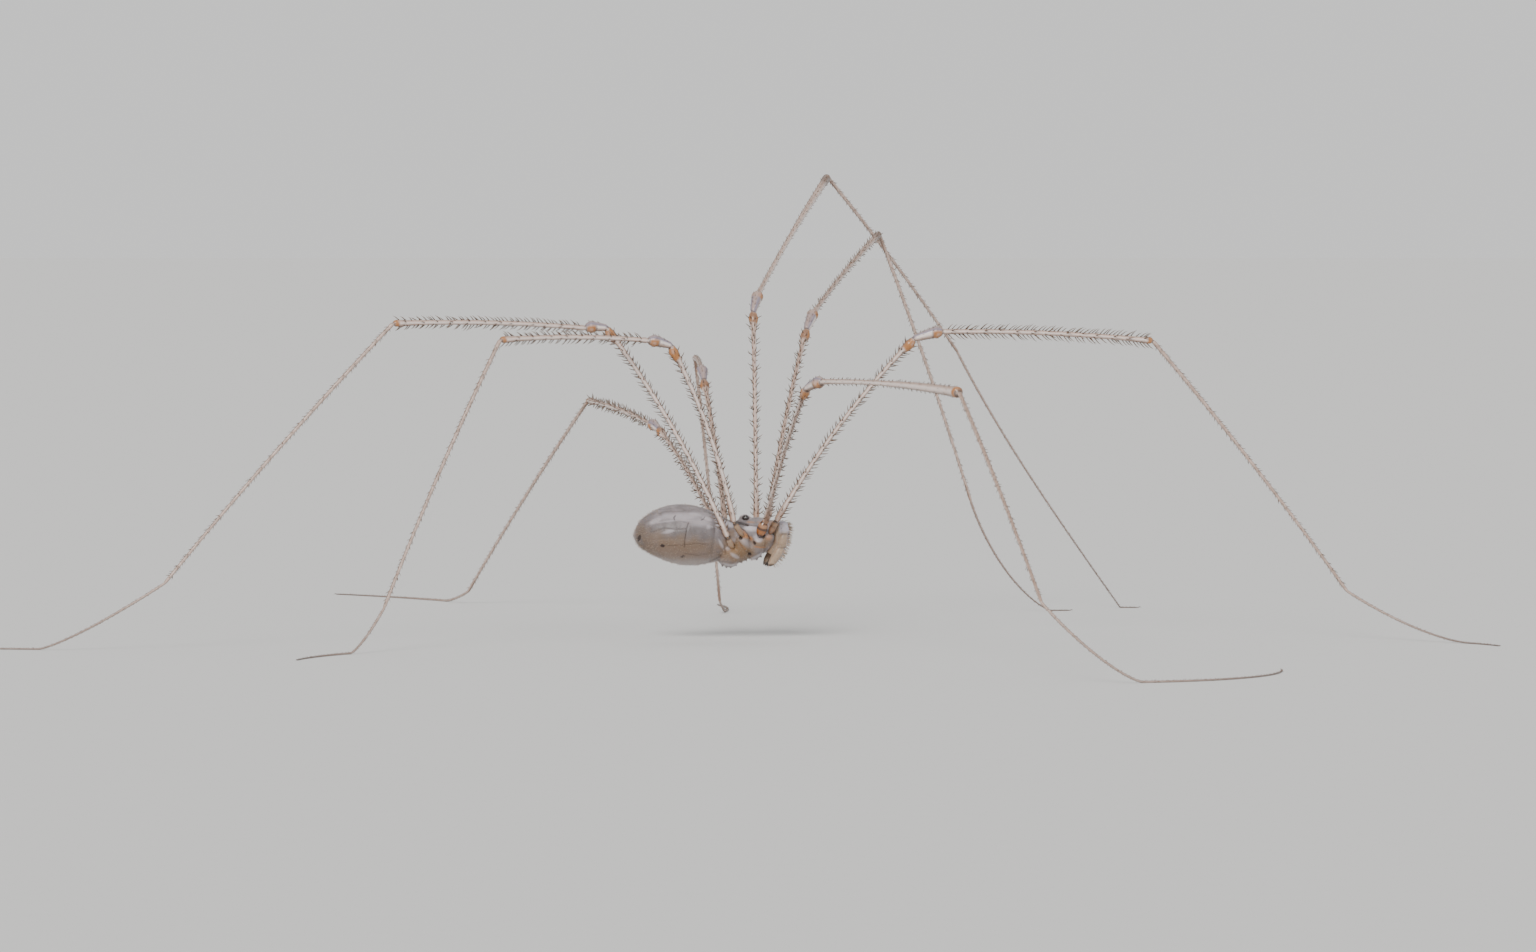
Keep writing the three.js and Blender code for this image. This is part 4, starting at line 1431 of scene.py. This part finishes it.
class HARVESTMAN_OT_claws(bpy.types.Operator):
    """Model one hooked claw and copy it to each foot"""
    bl_idname = "harvestman.claws"
    bl_label = "Claws"

    def execute(self, context):
        template = claw_template()
        for key in STANCE:
            leg = leg_line(key)
            tip = Vector(leg.points[-1]) - Vector(leg.tangents[-1]) * 0.03 + Vector((0, 0, 0.012))
            place = Matrix.Translation(tip) @ turn_to((1, 0, 0), leg.tangents[-1])
            claw = oriented(template, f"claw_{key}", place)
            points = coordinates(claw)
            points[:, 2] = np.maximum(points[:, 2], 0.002)
            set_coordinates(claw, points)
            settle(claw, finish_of("dark claw"), "leg")
        bpy.data.objects.remove(template)
        return {"FINISHED"}


class HARVESTMAN_OT_bristles(bpy.types.Operator):
    """Set rows of bristles on the legs"""
    bl_idname = "harvestman.bristles"
    bl_label = "Leg bristles"

    def execute(self, context):
        for seed, key in enumerate(STANCE):
            coat = leg_bristles(key, context.scene.harvestman_bristles, SEED_OF_BRISTLES + seed)
            settle(coat, finish_of("tan bristles"), "leg")
        return {"FINISHED"}


class HARVESTMAN_OT_body_hairs(bpy.types.Operator):
    """Set the fine hairs of the trunk and the fringes of the mouthparts"""
    bl_idname = "harvestman.body_hairs"
    bl_label = "Body hairs"

    def execute(self, context):
        points, normals = surface("trunk_skin")
        low = 1 - step(4.2, 5.2, points[:, 2])
        rear = 1 - step(-3.2, -2.2, points[:, 0])
        wanted = 0.15 + 0.5 * low + 0.6 * rear
        fuzz = skin_hairs("trunk_hairs", points, normals, wanted, SEED_OF_FUZZ, 0, FUZZ)
        settle(fuzz, finish_of("pale down"), "abdomen")
        for name, side in SIDES.items():
            for stem, coat in FRINGES.items():
                points, normals = surface(f"{stem}_{name}")
                wanted = 0.02 + step(0.45, 0.95, normals[:, 0]) * step(3.4, 3.8, points[:, 2])
                fringe = skin_hairs(
                    f"fringe_{stem}_{name}", points, normals, wanted, SEED_OF_FRINGES + side,
                    points[:, 1].mean(), coat)
                settle(fringe, finish_of("pale down"), "mouthpart")
        return {"FINISHED"}


OPERATORS = (
    HARVESTMAN_OT_stage,
    HARVESTMAN_OT_trunk,
    HARVESTMAN_OT_eyes,
    HARVESTMAN_OT_mouthparts,
    HARVESTMAN_OT_trochanters,
    HARVESTMAN_OT_legs,
    HARVESTMAN_OT_claws,
    HARVESTMAN_OT_bristles,
    HARVESTMAN_OT_body_hairs,
)


class HARVESTMAN_PT_panel(bpy.types.Panel):
    """Lists the pieces of the harvestman"""
    bl_label = "Harvestman"
    bl_idname = "HARVESTMAN_PT_panel"
    bl_space_type = "VIEW_3D"
    bl_region_type = "UI"
    bl_category = "Harvestman"

    def draw(self, context):
        for operator in OPERATORS:
            self.layout.operator(operator.bl_idname)


GROUPS = {
    "harvestman_colors": HarvestmanColors,
    "harvestman_trunk": HarvestmanTrunk,
    "harvestman_legs": HarvestmanLegs,
    "harvestman_bristles": HarvestmanBristles,
    "harvestman_stage": HarvestmanStage,
}


def register():
    for name, group in GROUPS.items():
        bpy.utils.register_class(group)
        setattr(bpy.types.Scene, name, bpy.props.PointerProperty(type=group))
    for operator in OPERATORS:
        bpy.utils.register_class(operator)
    bpy.utils.register_class(HARVESTMAN_PT_panel)


def unregister():
    bpy.utils.unregister_class(HARVESTMAN_PT_panel)
    for operator in reversed(OPERATORS):
        bpy.utils.unregister_class(operator)
    for name, group in reversed(GROUPS.items()):
        delattr(bpy.types.Scene, name)
        bpy.utils.unregister_class(group)


def main():
    register()
    bpy.ops.harvestman.stage()
    bpy.ops.harvestman.trunk()
    bpy.ops.harvestman.eyes()
    bpy.ops.harvestman.mouthparts()
    bpy.ops.harvestman.trochanters()
    bpy.ops.harvestman.legs()
    bpy.ops.harvestman.claws()
    bpy.ops.harvestman.bristles()
    bpy.ops.harvestman.body_hairs()


if __name__ == "__main__":
    main()
